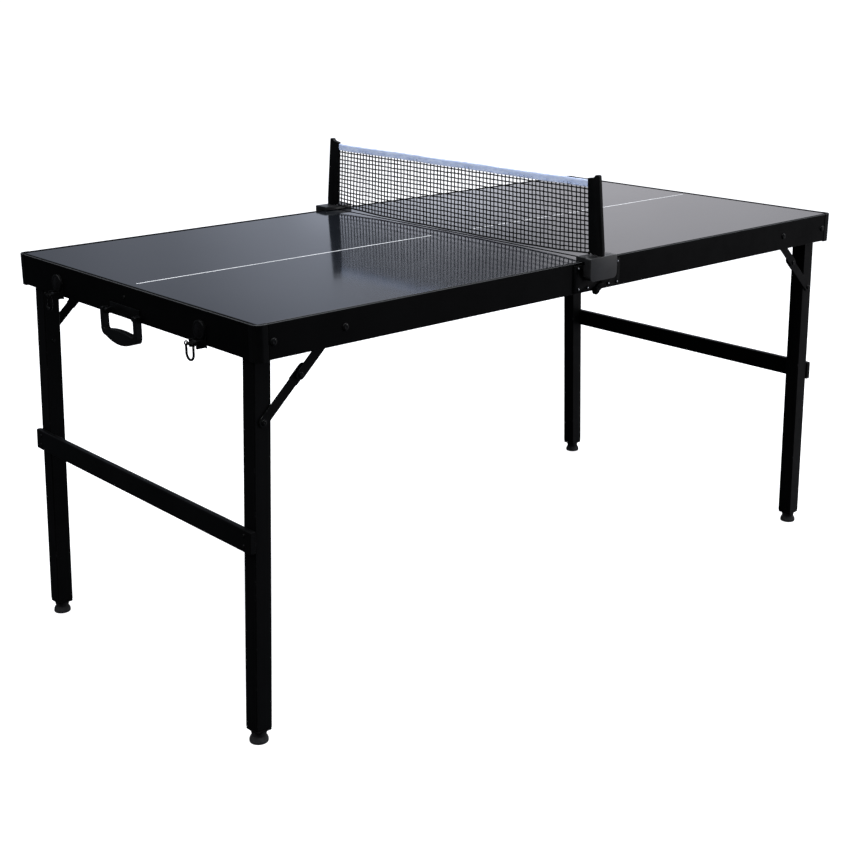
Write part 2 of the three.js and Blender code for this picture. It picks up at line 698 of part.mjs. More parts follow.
for (const side of ["left", "right"]) {
  const half = new THREE.Group();
  half.scale.x = side === "left" ? 1 : -1;
  group.add(half);
  add(half, `${side}_deck_panel`, deckPanel(), slateDeck);
  add(half, `${side}_end_rail`, endRail(), blackSteel);
  add(half, `${side}_centre_rail`, centreRail(), blackSteel);

  const frame = new THREE.Group();
  frame.position.set(-PIVOT_X, 0, PIVOT_Z);
  frame.rotation.y = LEG_SPLAY;
  half.add(frame);
  add(frame, `${side}_cross_bar`, crossBar(), blackSteel);

  for (const row of ["front", "back"]) {
    const name = `${side}_${row}`;
    const rowOfHalf = new THREE.Group();
    const rowOfFrame = new THREE.Group();
    rowOfHalf.scale.y = row === "front" ? 1 : -1;
    rowOfFrame.scale.y = rowOfHalf.scale.y;
    half.add(rowOfHalf);
    frame.add(rowOfFrame);
    add(rowOfHalf, `${name}_rail`, longRail(), blackSteel);
    add(rowOfHalf, `${name}_corner_cap`, cornerCap(), blackPlastic);
    add(rowOfHalf, `${name}_leg_bolt`, legPivotBolt(), brightSteel);
    add(rowOfHalf, `${name}_upper_link`, upperLink(), blackSteel);
    add(rowOfHalf, `${name}_lower_link`, lowerLink(), blackSteel);
    add(rowOfFrame, `${name}_leg`, leg(), blackSteel);
    add(rowOfFrame, `${name}_leg_plug`, legPlug(), blackPlastic);
    add(rowOfFrame, `${name}_foot`, foot(), blackRubber);
  }
}

for (const row of ["front", "back"]) {
  const rowGroup = new THREE.Group();
  rowGroup.scale.y = row === "front" ? 1 : -1;
  group.add(rowGroup);
  add(rowGroup, `left_${row}_hinge_plate`, leftHingePlate(), blackSteel);
  add(rowGroup, `right_${row}_hinge_plate`, rightHingePlate(), blackSteel);
  add(rowGroup, `${row}_net_bracket`, netBracket(), greyPlastic);
  add(rowGroup, `${row}_net_post`, netPost(), blackPlastic);

  const latchY = -LATCH_Y;
  add(rowGroup, `${row}_latch_base`, latchBase(latchY), blackSteel);
  add(rowGroup, `${row}_latch_lever`, latchLever(latchY), brightSteel);
  add(rowGroup, `${row}_latch_bail`, latchBail(latchY), blackSteel);
  const rightEnd = new THREE.Group();
  rightEnd.scale.x = -1;
  rowGroup.add(rightEnd);
  add(rightEnd, `${row}_latch_keeper`, latchKeeper(latchY), blackSteel);
}

add(group, "handle_bracket", handleBracket(), blackPlastic);
add(group, "handle", handle(), blackPlastic);
add(group, "net_mesh", netMesh(), netCord);
add(group, "net_tape", netTape(), paleCloth);

export default group;
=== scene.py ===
"""Looks of the folding table tennis table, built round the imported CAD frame.

Lengths in the shape code are millimetres; the frame is in metres. Shapes are made for the left half and the
front row, and mirrored to the other quarters of the table.
"""

import json
import math
import random

import bmesh
import bpy
from mathutils import Matrix, Vector


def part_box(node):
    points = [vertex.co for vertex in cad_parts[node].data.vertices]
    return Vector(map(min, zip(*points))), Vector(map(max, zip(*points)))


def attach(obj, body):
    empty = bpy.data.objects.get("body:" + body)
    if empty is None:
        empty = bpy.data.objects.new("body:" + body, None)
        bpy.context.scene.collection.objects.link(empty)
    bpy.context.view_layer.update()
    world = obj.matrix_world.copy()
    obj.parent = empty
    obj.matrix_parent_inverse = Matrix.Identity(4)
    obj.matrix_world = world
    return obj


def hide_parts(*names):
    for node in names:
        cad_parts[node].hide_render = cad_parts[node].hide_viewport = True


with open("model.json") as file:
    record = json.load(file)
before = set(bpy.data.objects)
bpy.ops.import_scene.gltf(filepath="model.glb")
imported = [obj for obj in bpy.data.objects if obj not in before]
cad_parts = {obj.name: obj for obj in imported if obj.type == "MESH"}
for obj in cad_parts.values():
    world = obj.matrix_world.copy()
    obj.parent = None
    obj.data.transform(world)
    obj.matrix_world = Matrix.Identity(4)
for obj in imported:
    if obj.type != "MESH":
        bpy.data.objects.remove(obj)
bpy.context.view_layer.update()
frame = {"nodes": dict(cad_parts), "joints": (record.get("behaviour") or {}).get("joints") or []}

MM = 0.001
SIDES = {"left": 1, "right": -1}
ROWS = {"front": 1, "back": -1}
SHARP_ANGLE = math.radians(38)
scene = bpy.context.scene


# ---- Places read from the frame, in millimetres ----


def box_mm(node):
    lo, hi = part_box(node)
    return lo / MM, hi / MM


joints = {j["name"]: j for j in frame["joints"]}


def pivot_mm(joint):
    return Vector(joints[joint]["pos_m"]) / MM


panel_lo, panel_hi = box_mm("left_deck_panel")
rail_lo, rail_hi = box_mm("left_front_rail")
end_lo, end_hi = box_mm("left_end_rail")
middle_lo, middle_hi = box_mm("left_centre_rail")
plug_lo, plug_hi = box_mm("left_front_leg_plug")
bar_lo, bar_hi = box_mm("left_cross_bar")
foot_lo, foot_hi = box_mm("left_front_foot")
handle_lo, handle_hi = box_mm("handle")
net_lo, net_hi = box_mm("net_mesh")
tape_lo, tape_hi = box_mm("net_tape")
bail_lo, bail_hi = box_mm("front_latch_bail")

leg_pivot = pivot_mm("left_leg_fold")
upper_pivot = pivot_mm("left_front_upper_link_turn")
lower_pivot = pivot_mm("left_front_lower_link_turn")
down = Vector(joints["left_front_foot_adjust"]["axis"])
splay = math.asin(-down.x)
leg_frame = Matrix.Translation((leg_pivot.x, 0, leg_pivot.z)) @ Matrix.Rotation(splay, 4, "Y")

deck_z = panel_hi.z
PROUD = 0.45  # the rims' rolled tops above the flat tops in the frame
shoulder_z = panel_lo.z - 0.3
rim_y = panel_lo.y - 0.3
rim_x = panel_lo.x - 0.3
leg_y = (plug_lo.y + plug_hi.y) / 2
leg_half = (plug_hi.y - plug_lo.y) / 2
link_drop = math.hypot(lower_pivot.x - leg_pivot.x, lower_pivot.z - leg_pivot.z)
brace = math.hypot(upper_pivot.x - lower_pivot.x, upper_pivot.z - lower_pivot.z)
lower_length = (brace - (upper_pivot.x - leg_pivot.x - link_drop)) / 2
knee = lower_pivot.lerp(upper_pivot, lower_length / brace)


# ---- Camera ----

CAMERA_AT = Vector((-1.9224, -2.0922, 1.2242))
CAMERA_AZIMUTH = math.radians(-41.45)
CAMERA_ELEVATION = math.radians(17.88)
CAMERA_ROLL = math.radians(-0.154)
CAMERA_LENS = 60.94


def make_camera():
    a, e, r = CAMERA_AZIMUTH, CAMERA_ELEVATION, CAMERA_ROLL
    back = Vector((math.sin(a) * math.cos(e), -math.cos(a) * math.cos(e), math.sin(e)))
    flat_right = Vector((math.cos(a), math.sin(a), 0))
    flat_up = back.cross(flat_right)
    right = flat_right * math.cos(r) + flat_up * math.sin(r)
    up = flat_up * math.cos(r) - flat_right * math.sin(r)
    data = bpy.data.cameras.new("camera")
    data.sensor_width = 36
    data.lens = CAMERA_LENS
    data.clip_start = 0.05
    data.clip_end = 300
    camera = bpy.data.objects.new("camera", data)
    turn = Matrix((right, up, back)).transposed().to_4x4()
    camera.matrix_world = Matrix.Translation(CAMERA_AT) @ turn
    scene.collection.objects.link(camera)
    scene.camera = camera


make_camera()


# ---- Materials ----


class Nodes:
    """Makes and links the nodes of one material or world."""

    def __init__(self, tree):
        self.tree = tree

    def node(self, kind, inputs=None, **settings):
        made = self.tree.nodes.new("ShaderNode" + kind)
        for key, value in settings.items():
            setattr(made, key, value)
        for key, value in (inputs or {}).items():
            if isinstance(value, bpy.types.NodeSocket):
                self.tree.links.new(value, made.inputs[key])
            else:
                made.inputs[key].default_value = value
        return made

    def span(self, value, low, high, to_low=0.0, to_high=1.0, curve="SMOOTHSTEP"):
        """Value from low..high carried to to_low..to_high, held at the ends."""
        inputs = {0: value, 1: low, 2: high, 3: to_low, 4: to_high}
        return self.node("MapRange", inputs, interpolation_type=curve).outputs[0]

    def maths(self, operation, a, b=0.0):
        return self.node("Math", {0: a, 1: b}, operation=operation).outputs[0]

    def mix(self, factor, a, b):
        return self.node("Mix", {0: factor, 6: a, 7: b}, data_type="RGBA").outputs[2]


class Look(Nodes):
    """A Principled material with its nodes laid over the object's own coordinates, in metres."""

    def __init__(self, name, **fixed):
        self.material = bpy.data.materials.new(name)
        self.material.use_nodes = True
        super().__init__(self.material.node_tree)
        self.shader = self.tree.nodes["Principled BSDF"]
        self.place = self.node("TexCoord").outputs["Object"]
        for socket, value in fixed.items():
            self.shader.inputs[socket.replace("_", " ")].default_value = value

    def stretched(self, x, y, z, offset=0.0):
        inputs = {"Vector": self.place, "Scale": (x, y, z), "Location": (offset, offset, offset)}
        return self.node("Mapping", inputs).outputs["Vector"]

    def noise(self, scale, detail=3.0, rough=0.55, vector=None, distortion=0.0):
        inputs = {"Vector": vector or self.place, "Scale": scale, "Detail": detail}
        inputs |= {"Roughness": rough, "Distortion": distortion}
        return self.node("TexNoise", inputs).outputs["Fac"]

    def cells(self, scale, vector=None):
        return self.node("TexVoronoi", {"Vector": vector or self.place, "Scale": scale}).outputs["Distance"]

    def threads(self, direction):
        inputs = {"Vector": self.place, "Scale": 330, "Distortion": 0.6}
        return self.node("TexWave", inputs, bands_direction=direction).outputs["Fac"]

    def edges(self):
        """1 on the rounded edges of a piece, 0 on its faces."""
        return self.node("Attribute", attribute_name="wear").outputs["Fac"]

    def rim(self, base, rough, lip):
        """Dull tops on the rims, and smoother outer lips painted paler as a highlight."""
        mark = self.node("Attribute", attribute_name="rim").outputs["Fac"]
        dull = self.span(mark, -1.0, 0.0, 1.0, 0.0, "LINEAR")
        bright = self.span(mark, 0.0, 1.0, curve="LINEAR")
        rough = self.maths("MAXIMUM", rough, dull)
        rough = self.maths("SUBTRACT", rough, self.maths("MULTIPLY", bright, 0.15))
        # Painted highlight: the outer lips' colour is mixed towards a paler grey.
        return self.mix(bright, base, grey(lip, 1.06)), rough

    def bump(self, height, metres, strength=1.0, under=None):
        inputs = {"Height": height, "Distance": metres, "Strength": strength}
        if under:
            inputs["Normal"] = under
        return self.node("Bump", inputs).outputs["Normal"]

    def done(self, colour=None, rough=None, normal=None, metal=None):
        found = {"Base Color": colour, "Roughness": rough, "Normal": normal, "Metallic": metal}
        for socket, value in found.items():
            if value is not None:
                self.tree.links.new(value, self.shader.inputs[socket])
        return self.material


def grey(value, blue=1.0):
    return (value, value * (1 + (blue - 1) / 2), value * blue, 1.0)


def powder_coat(name, dark, light, rough, scale=1.0, offset=0.0, level=0.3, lip=0.0):
    """Satin black powder coat: orange peel, faint cloudiness, thin rubbed edges."""
    look = Look(name, Specular_IOR_Level=level)
    place = look.stretched(1, 1, 1, offset)
    cloud = look.noise(9 * scale, 4, vector=place)
    rubbed = look.maths(
        "MULTIPLY", look.edges(), look.span(look.noise(60, 5, 0.7, place), 0.56, 0.72)
    )
    scuff = look.span(look.noise(1, 6, 0.75, look.stretched(22, 22, 160, offset)), 0.66, 0.74)
    base = look.mix(look.span(cloud, 0.3, 0.7), grey(dark, 1.06), grey(light, 1.06))
    base = look.mix(look.maths("MULTIPLY", scuff, 0.3), base, grey(light * 2.4))
    base = look.mix(look.maths("MULTIPLY", rubbed, 0.5), base, grey(0.035))
    roughness = look.span(look.noise(38, 4, 0.6, place), 0.3, 0.7, rough - 0.07, rough + 0.07)
    roughness = look.maths("ADD", roughness, look.maths("MULTIPLY", scuff, 0.08))
    # lip is the grey of a painted highlight on the rims' outer lips.
    if lip:
        base, roughness = look.rim(base, roughness, lip)
    peel = look.bump(look.noise(620, 2, 0.45, place), 0.00006, 0.5)
    return look.done(base, roughness, look.bump(look.noise(2600, 2), 0.00002, 0.35, peel))


def moulded(name, dark, light, rough, offset=0.0, level=0.35, lip=0.0):
    """Injection-moulded plastic with a fine spark-eroded grain and slightly polished edges."""
    look = Look(name, Specular_IOR_Level=level)
    place = look.stretched(1, 1, 1, offset)
    cloud = look.span(look.noise(14, 4, vector=place), 0.3, 0.7)
    base = look.mix(cloud, grey(dark, 1.08), grey(light, 1.08))
    base = look.mix(look.maths("MULTIPLY", look.edges(), 0.3), base, grey(light * 1.5, 1.08))
    roughness = look.span(look.noise(45, 5, 0.65, place), 0.3, 0.7, rough - 0.06, rough + 0.08)
    roughness = look.maths("SUBTRACT", roughness, look.maths("MULTIPLY", look.edges(), 0.1))
    # lip is the grey of a painted highlight on the outer lips.
    if lip:
        base, roughness = look.rim(base, roughness, lip)
    grain = look.bump(look.cells(1500, place), 0.00005, 0.35)
    return look.done(base, roughness, look.bump(look.noise(420, 3, 0.6, place), 0.00004, 0.3, grain))


def slate_deck():
    """Nearly black, glossy slate paint with faint cleaning swirls, hairline scratches and ball marks."""
    look = Look("slate_deck_paint", Specular_IOR_Level=0.5, IOR=1.5)
    cloud = look.span(look.noise(2.6, 5, 0.6), 0.3, 0.7)
    fleck = look.span(look.noise(900, 2), 0.35, 0.75)
    base = look.mix(cloud, (0.0055, 0.0066, 0.0088, 1), (0.0070, 0.0083, 0.0108, 1))
    base = look.mix(look.maths("MULTIPLY", fleck, 0.18), base, (0.014, 0.016, 0.019, 1))
    hair = look.noise(1, 8, 0.8, look.stretched(6, 190, 1), 0.4)
    cross = look.noise(1, 8, 0.8, look.stretched(170, 9, 1, 3.0), 0.5)
    lines = look.maths("MAXIMUM", look.span(hair, 0.69, 0.74), look.span(cross, 0.70, 0.75))
    marks = look.span(look.cells(16, look.stretched(1, 1, 0)), 0.05, 0.16, 1.0, 0.0)
    marks = look.maths("MULTIPLY", marks, look.span(look.noise(7, 2), 0.5, 0.62))
    base = look.mix(look.maths("MULTIPLY", lines, 0.10), base, (0.075, 0.080, 0.088, 1))
    base = look.mix(look.maths("MULTIPLY", marks, 0.10), base, (0.062, 0.067, 0.074, 1))
    rough = look.span(look.noise(5, 5, 0.65), 0.3, 0.7, 0.08, 0.11)
    rough = look.maths("ADD", rough, look.maths("MULTIPLY", lines, 0.06))
    rough = look.maths("ADD", rough, look.maths("MULTIPLY", marks, 0.05))
    paint = look.bump(look.noise(310, 3, 0.5), 0.00003, 0.16)
    return look.done(base, rough, look.bump(lines, 0.00002, 0.2, paint))


def deck_backing():
    """Dark underside of the board: matt sealed fibre with a visible mottle."""
    look = Look("deck_backing_board", Specular_IOR_Level=0.25)
    fibre = look.noise(160, 6, 0.75, look.stretched(1, 3.5, 1), 0.6)
    base = look.mix(look.span(fibre, 0.3, 0.7), (0.020, 0.018, 0.016, 1), (0.043, 0.038, 0.033, 1))
    rough = look.span(look.noise(30, 4), 0.3, 0.7, 0.62, 0.8)
    return look.done(base, rough, look.bump(fibre, 0.00015, 0.4))


def line_paint():
    look = Look("white_line_paint", Specular_IOR_Level=0.4)
    worn = look.span(look.noise(70, 6, 0.75), 0.56, 0.70)
    base = look.mix(look.span(look.noise(12, 3), 0.3, 0.7), grey(0.46, 1.03), grey(0.55, 1.03))
    base = look.mix(look.maths("MULTIPLY", worn, 0.18), base, grey(0.36))
    rough = look.span(look.noise(90, 3), 0.3, 0.7, 0.26, 0.4)
    return look.done(base, rough, look.bump(look.noise(900, 2), 0.00002, 0.4))


def zinc_steel():
    """Zinc-plated rivets and pins: pale, finely turned, a little stained."""
    look = Look("zinc_plated_steel")
    stain = look.span(look.noise(220, 5, 0.7), 0.35, 0.68)
    base = look.mix(stain, (0.62, 0.63, 0.66, 1), (0.40, 0.40, 0.41, 1))
    rough = look.span(look.noise(500, 4, 0.7), 0.3, 0.7, 0.2, 0.34)
    metal = look.span(stain, 0, 1, 1.0, 0.86)
    return look.done(base, rough, look.bump(look.noise(1800, 3, 0.7), 0.00003, 0.35), metal)


def blackened_steel(name, rough, offset=0.0, level=0.2):
    """Black-plated steel: some sheen, bright only where an edge has rubbed through."""
    look = Look(name, Specular_IOR_Level=level)
    place = look.stretched(1, 1, 1, offset)
    rubbed = look.maths(
        "MULTIPLY", look.edges(), look.span(look.noise(110, 5, 0.7, place), 0.5, 0.68)
    )
    base = look.mix(look.span(look.noise(26, 4, vector=place), 0.3, 0.7), grey(0.0022), grey(0.0042))
    base = look.mix(look.maths("MULTIPLY", rubbed, 0.6), base, grey(0.11))
    roughness = look.span(look.noise(80, 4, 0.6, place), 0.3, 0.7, rough - 0.06, rough + 0.06)
    metal = look.span(rubbed, 0, 1, 0.0, 0.7)
    return look.done(base, roughness, look.bump(look.noise(900, 3, vector=place), 0.00003, 0.4), metal)


def black_rubber():
    """Dusty rubber of the feet: matt, paler where it has met the floor."""
    look = Look("foot_rubber", Specular_IOR_Level=0.25)
    height = look.node("SeparateXYZ", {0: look.place}).outputs["Z"]
    low = look.span(height, 0.0, 0.012, 1.0, 0.0)
    dust = look.maths("MULTIPLY", look.maths("ADD", low, 0.2), look.noise(140, 5, 0.7))
    base = look.mix(dust, grey(0.007), grey(0.035))
    rough = look.span(look.noise(90, 4), 0.3, 0.7, 0.68, 0.86)
    return look.done(base, rough, look.bump(look.noise(700, 4, 0.65), 0.00008, 0.5))


def net_cord():
    """Black braided nylon."""
    look = Look("net_cord_nylon", Specular_IOR_Level=0.12)
    inputs = {"Vector": look.stretched(1, 1, 1), "Scale": 420, "Distortion": 1.5, "Detail": 1}
    twist = look.node("TexWave", inputs, bands_direction="DIAGONAL").outputs["Fac"]
    base = look.mix(twist, grey(0.0020), grey(0.0048, 1.15))
    rough = look.span(look.noise(700, 3), 0.3, 0.7, 0.55, 0.75)
    return look.done(base, rough, look.bump(twist, 0.0001, 0.5))


def tape_cloth():
    """Pale woven binding tape: fine warp and weft, faint blue cast, darker and paler in patches, with
    painted shade between the threads.
    """
    look = Look("net_tape_cloth", Specular_IOR_Level=0.25, Sheen_Weight=0.25, Sheen_Roughness=0.45)
    weave = look.maths("MULTIPLY", look.threads("Y"), look.threads("Z"))
    patches = look.noise(1, 6, 0.75, look.stretched(60, 60, 190))
    base = look.mix(look.span(patches, 0.32, 0.68), TAPE_SHADE, TAPE_LIGHT)
    # Painted shade: darker and bluer between the threads of the weave.
    base = look.mix(look.maths("MULTIPLY", look.span(weave, 0.0, 0.7, 1, 0), 0.35), base, TAPE_THREAD_GAP_SHADE)
    rough = look.span(look.noise(120, 3), 0.3, 0.7, 0.72, 0.88)
    return look.done(base, rough, look.bump(weave, 0.00018, 0.7))


TAPE_SHADE = (0.50, 0.61, 0.88, 1)
TAPE_LIGHT = (0.75, 0.83, 0.98, 1)
# Colour of the painted shade between the threads.
TAPE_THREAD_GAP_SHADE = (0.37, 0.47, 0.76, 1)

LOOKS = {
    "deck": slate_deck(),
    "backing": deck_backing(),
    "line": line_paint(),
    # The frame's lip value is the grey of a painted highlight on the rims' outer lips.
    "frame": powder_coat("frame_powder_coat", 0.0007, 0.0015, 0.46, level=0.035, lip=0.04),
    "legs": powder_coat("leg_powder_coat", 0.0014, 0.0026, 0.42, 0.8, 5.0, 0.06),
    "links": blackened_steel("link_steel", 0.40, 2.0, 0.05),
    "hinge": powder_coat("hinge_powder_coat", 0.0010, 0.0020, 0.38, 2.0, 9.0, 0.04),
    "hardware": zinc_steel(),
    "latch": blackened_steel("latch_steel", 0.20, 7.0, 0.08),
    "bolt": blackened_steel("bolt_steel", 0.17, 4.0, 0.08),
    "wire": blackened_steel("bail_wire_steel", 0.35, 3.0, 0.03),
    # The band look has no specular, so the bands stay black at any angle; they are partly painted shade.
    "band_and_gap_shade": moulded("edge_band_rubber_and_painted_shade", 0.0010, 0.0020, 0.6, 8.0, 0.0),
    # The last value is lip: the grey of a painted highlight on the caps' outer lips.
    "cap": moulded("corner_cap_plastic", 0.0011, 0.0022, 0.40, 1.0, 0.06, 0.05),
    "bracket": moulded("bracket_plastic", 0.0042, 0.0064, 0.40, 3.0, 0.50),
    "post": moulded("post_plastic", 0.0016, 0.0028, 0.38, 4.0, 0.07),
    "handle": moulded("handle_plastic", 0.0016, 0.0030, 0.32, 6.0, 0.14),
    "rubber": black_rubber(),
    "net_cord": net_cord(),
    "tape": tape_cloth(),
}


# ---- Mesh tools ----


def arc(u, v, radius, start, end, steps):
    """Points of an arc about (u, v), angles in degrees."""
    found = []
    for i in range(steps + 1):
        angle = math.radians(start + (end - start) * i / steps)
        found.append((u + radius * math.cos(angle), v + radius * math.sin(angle)))
    return found


def rounded(u0, u1, v0, v1, radius, steps=5):
    return (
        arc(u0 + radius, v0 + radius, radius, 180, 270, steps)
        + arc(u1 - radius, v0 + radius, radius, 270, 360, steps)
        + arc(u1 - radius, v1 - radius, radius, 0, 90, steps)
        + arc(u0 + radius, v1 - radius, radius, 90, 180, steps)
    )


def bend(start, control, end, steps):
    """Points of a quadratic curve, without its first."""
    found = []
    for i in range(1, steps + 1):
        t = i / steps
        parts = zip(start, control, end)
        found.append(tuple((1 - t) ** 2 * a + 2 * t * (1 - t) * c + t * t * b for a, c, b in parts))
    return found


RIM_DEEP = 2  # how far below a rim's top its marked faces reach


class Shape:
    """Shells in millimetres, gathered in one mesh; 'wear' marks their rounded edges and 'rim' their rims'
    dull tops and the outer lips that get a painted highlight.
    """

    def __init__(self):
        self.bm = bmesh.new()
        self.wear = self.bm.faces.layers.float.new("wear")
        self.rims = self.bm.faces.layers.float.new("rim")

    def shell(self, points, faces, edge=0.0, segments=2, limit=28):
        bm = self.bm
        verts = [bm.verts.new(p) for p in points]
        made = [bm.faces.new([verts[i] for i in face]) for face in faces]
        bmesh.ops.recalc_face_normals(bm, faces=made)
        if edge > 0:
            bm.normal_update()
            turn = math.radians(limit)
            edges = list(dict.fromkeys(e for f in made for e in f.edges))
            hard = [e for e in edges if e.is_manifold and e.calc_face_angle() > turn]
            out = bmesh.ops.bevel(
                bm,
                geom=hard,
                offset=edge,
                offset_type="OFFSET",
                segments=segments,
                profile=0.5,
                affect="EDGES",
                clamp_overlap=True,
            )
            for face in out["faces"]:
                face[self.wear] = 1
        return self

    def prism(self, outline, axis, low, high, edge=0.6, segments=2, limit=28):
        """An outline given thickness along an axis: (y, z) for X, (x, z) for Y, (x, y) for Z."""
        at = {
            "X": lambda u, v, w: (w, u, v),
            "Y": lambda u, v, w: (u, w, v),
            "Z": lambda u, v, w: (u, v, w),
        }[axis]
        n = len(outline)
        points = [at(u, v, low) for u, v in outline] + [at(u, v, high) for u, v in outline]
        faces = [tuple(range(n)), tuple(range(n, 2 * n))]
        faces += [(i, (i + 1) % n, n + (i + 1) % n, n + i) for i in range(n)]
        return self.shell(points, faces, edge, segments, limit)

    def block(self, x, y, z, edge=0.6, segments=2):
        outline = [(x[0], y[0]), (x[1], y[0]), (x[1], y[1]), (x[0], y[1])]
        return self.prism(outline, "Z", z[0], z[1], edge, segments)

    def lathe(self, profile, centre, axis, sides=28, flutes=0, flute_deep=0.0):
        """(radius, height) pairs turned about an axis; the first and last radius are 0."""
        axis = Vector(axis).normalized()
        across = axis.orthogonal().normalized()
        third = axis.cross(across)
        centre = Vector(centre)
        points = [centre + axis * profile[0][1]]
        for radius, height in profile[1:-1]:
            for i in range(sides):
                angle = 2 * math.pi * i / sides
                r = radius - flute_deep * (0.5 + 0.5 * math.cos(flutes * angle)) if flutes else radius
                points.append(
                    centre + axis * height + (across * math.cos(angle) + third * math.sin(angle)) * r
                )
        points.append(centre + axis * profile[-1][1])
        rings = len(profile) - 2
        faces = [(0, 1 + (i + 1) % sides, 1 + i) for i in range(sides)]
        for k in range(rings - 1):
            a, b = 1 + k * sides, 1 + (k + 1) * sides
            faces += [(a + i, a + (i + 1) % sides, b + (i + 1) % sides, b + i) for i in range(sides)]
        last, tip = 1 + (rings - 1) * sides, len(points) - 1
        faces += [(last + i, last + (i + 1) % sides, tip) for i in range(sides)]
        return self.shell(points, faces)

    def tube(self, path, radius, sides=10, ring=False, caps=True, flat=1.0):
        """A bar along points, its radius a number or one for each point, flattened along X by a factor."""
        path = [Vector(p) for p in path]
        n = len(path)
        radii = radius if isinstance(radius, list) else [radius] * n
        across = None
        points = []
        for i, p in enumerate(path):
            if ring:
                along = path[(i + 1) % n] - path[i - 1]
            else:
                along = path[min(i + 1, n - 1)] - path[max(i - 1, 0)]
            along.normalize()
            across = along.orthogonal() if across is None else across - along * across.dot(along)
            across.normalize()
            third = along.cross(across)
            for k in range(sides):
                angle = 2 * math.pi * k / sides
                out = (across * math.cos(angle) + third * math.sin(angle)) * radii[i]
                points.append(p + Vector((out.x * flat, out.y, out.z)))
        faces = []
        for i in range(n if ring else n - 1):
            a, b = i * sides, (i + 1) % n * sides
            faces += [(a + k, a + (k + 1) % sides, b + (k + 1) % sides, b + k) for k in range(sides)]
        if caps and not ring:
            faces += [tuple(range(sides)), tuple(range((n - 1) * sides, n * sides))]
        return self.shell(points, faces)

    def pin(self, centre, axis, radius, long, sides=20):
        return self.lathe([(0, 0), (radius, 0), (radius, long), (0, long)], centre, axis, sides)

    def rivet(self, centre, axis, radius, high):
        """A domed head that stands on a face, with a shallow dimple."""
        profile = [(0, -0.6), (radius * 0.98, -0.6), (radius, 0.12 * high), (radius * 0.95, 0.42 * high)]
        profile += [(radius * 0.8, 0.76 * high), (radius * 0.56, 0.95 * high), (radius * 0.36, high)]
        profile += [(radius * 0.28, 0.9 * high), (radius * 0.16, 0.84 * high), (0, 0.82 * high)]
        return self.lathe(profile, centre, axis, 24)

    def rim(self, top, outwards):
        """Marks the top of a rim as dull, and the rounded edge along its outer side as bright, for a painted
        highlight.
        """
        bm = self.bm
        bm.normal_update()
        for face in bm.faces:
            if face.calc_center_median().z < top - RIM_DEEP or face.normal.z < 0.2:
                continue
            outer = face[self.wear] and face.normal.dot(Vector(outwards).normalized()) > 0.15
            face[self.rims] = 1 if outer else -1
        return self

    def place(self, name, body, look, slot=None, stands_for=(), at=None):
        """The shape as a piece of the scene, turned or mirrored by a matrix in millimetres."""
        at = at or Matrix.Identity(4)
        bm = self.bm.copy()
        bm.transform(Matrix.Scale(MM, 4) @ at)
        if at.determinant() < 0:
            bmesh.ops.reverse_faces(bm, faces=bm.faces)
        mesh = bpy.data.meshes.new(name)
        bm.to_mesh(mesh)
        bm.free()
        obj = bpy.data.objects.new(name, mesh)
        scene.collection.objects.link(obj)
        smooth(obj)
        mesh.materials.append(LOOKS[look])
        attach(obj, body)
        if stands_for:
            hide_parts(*stands_for)
        return obj


def smooth(obj):
    obj.data.shade_smooth()
    obj.data.set_sharp_from_angle(angle=SHARP_ANGLE)
    weigh = obj.modifiers.new("face_weighted_normals", "WEIGHTED_NORMAL")
    weigh.keep_sharp = True


def mirror(side=1, row=1):
    return Matrix.Diagonal((side, row, 1, 1))


def quarters(shape, part, look, slot, body, replaced=None, local=False):
    """The shape at all four quarters; body and part may hold {side} and {row}."""
    for side, sx in SIDES.items():
        for row, sy in ROWS.items():
            names = {"side": side, "row": row}
            at = mirror(sx, 1) @ leg_frame @ mirror(1, sy) if local else mirror(sx, sy)
            nodes = [replaced.format(**names)] if replaced else []
            shape.place(part.format(**names), body.format(**names), look, slot, nodes, at)


def halves(shape, part, look, slot, body, replaced=None, local=False):
    for side, sx in SIDES.items():
        at = mirror(sx, 1) @ leg_frame if local else mirror(sx, 1)
        nodes = [replaced.format(side=side)] if replaced else []
        shape.place(part.format(side=side), body.format(side=side), look, slot, nodes, at)


def rows(shape, part, look, slot, body, replaced=None):
    for row, sy in ROWS.items():
        nodes = [replaced.format(row=row)] if replaced else []
        shape.place(part.format(row=row), body.format(row=row), look, slot, nodes, mirror(1, sy))


def dress(node, look, width, segments=2, limit=32):
    """A CAD node kept as it is, with its edges rounded by a modifier and its own material."""
    obj = frame["nodes"][node]
    obj.data.materials.clear()
    obj.data.materials.append(LOOKS[look])
    obj.data.shade_smooth()
    weld = obj.modifiers.new("weld", "WELD")
    weld.merge_threshold = 0.01 * MM
    bevel = obj.modifiers.new("rounded_edges", "BEVEL")
    bevel.width = width * MM
    bevel.segments = segments
    bevel.limit_method = "ANGLE"
    bevel.angle_limit = math.radians(limit)
    bevel.harden_normals = True
    bevel.miter_outer = "MITER_ARC"


# ---- Deck and aprons ----


def long_rail():
    outline = [
        (rail_lo.y, rail_lo.z),
        (rail_hi.y, rail_lo.z),
        (rail_hi.y, shoulder_z),
        (rim_y, shoulder_z),
        (rim_y, rail_hi.z + PROUD),
        (rail_lo.y, rail_hi.z + PROUD),
    ]
    return Shape().prism(outline, "X", rail_lo.x, rail_hi.x, 1.0, 3).rim(rail_hi.z, (0, -1, 0))


def end_rail():
    outline = [
        (end_lo.x, end_lo.z),
        (end_hi.x, end_lo.z),
        (end_hi.x, shoulder_z),
        (rim_x, shoulder_z),
        (rim_x, end_hi.z + PROUD),
        (end_lo.x, end_hi.z + PROUD),
    ]
    return Shape().prism(outline, "Y", end_lo.y, end_hi.y, 1.0, 3).rim(end_hi.z, (-1, 0, 0))


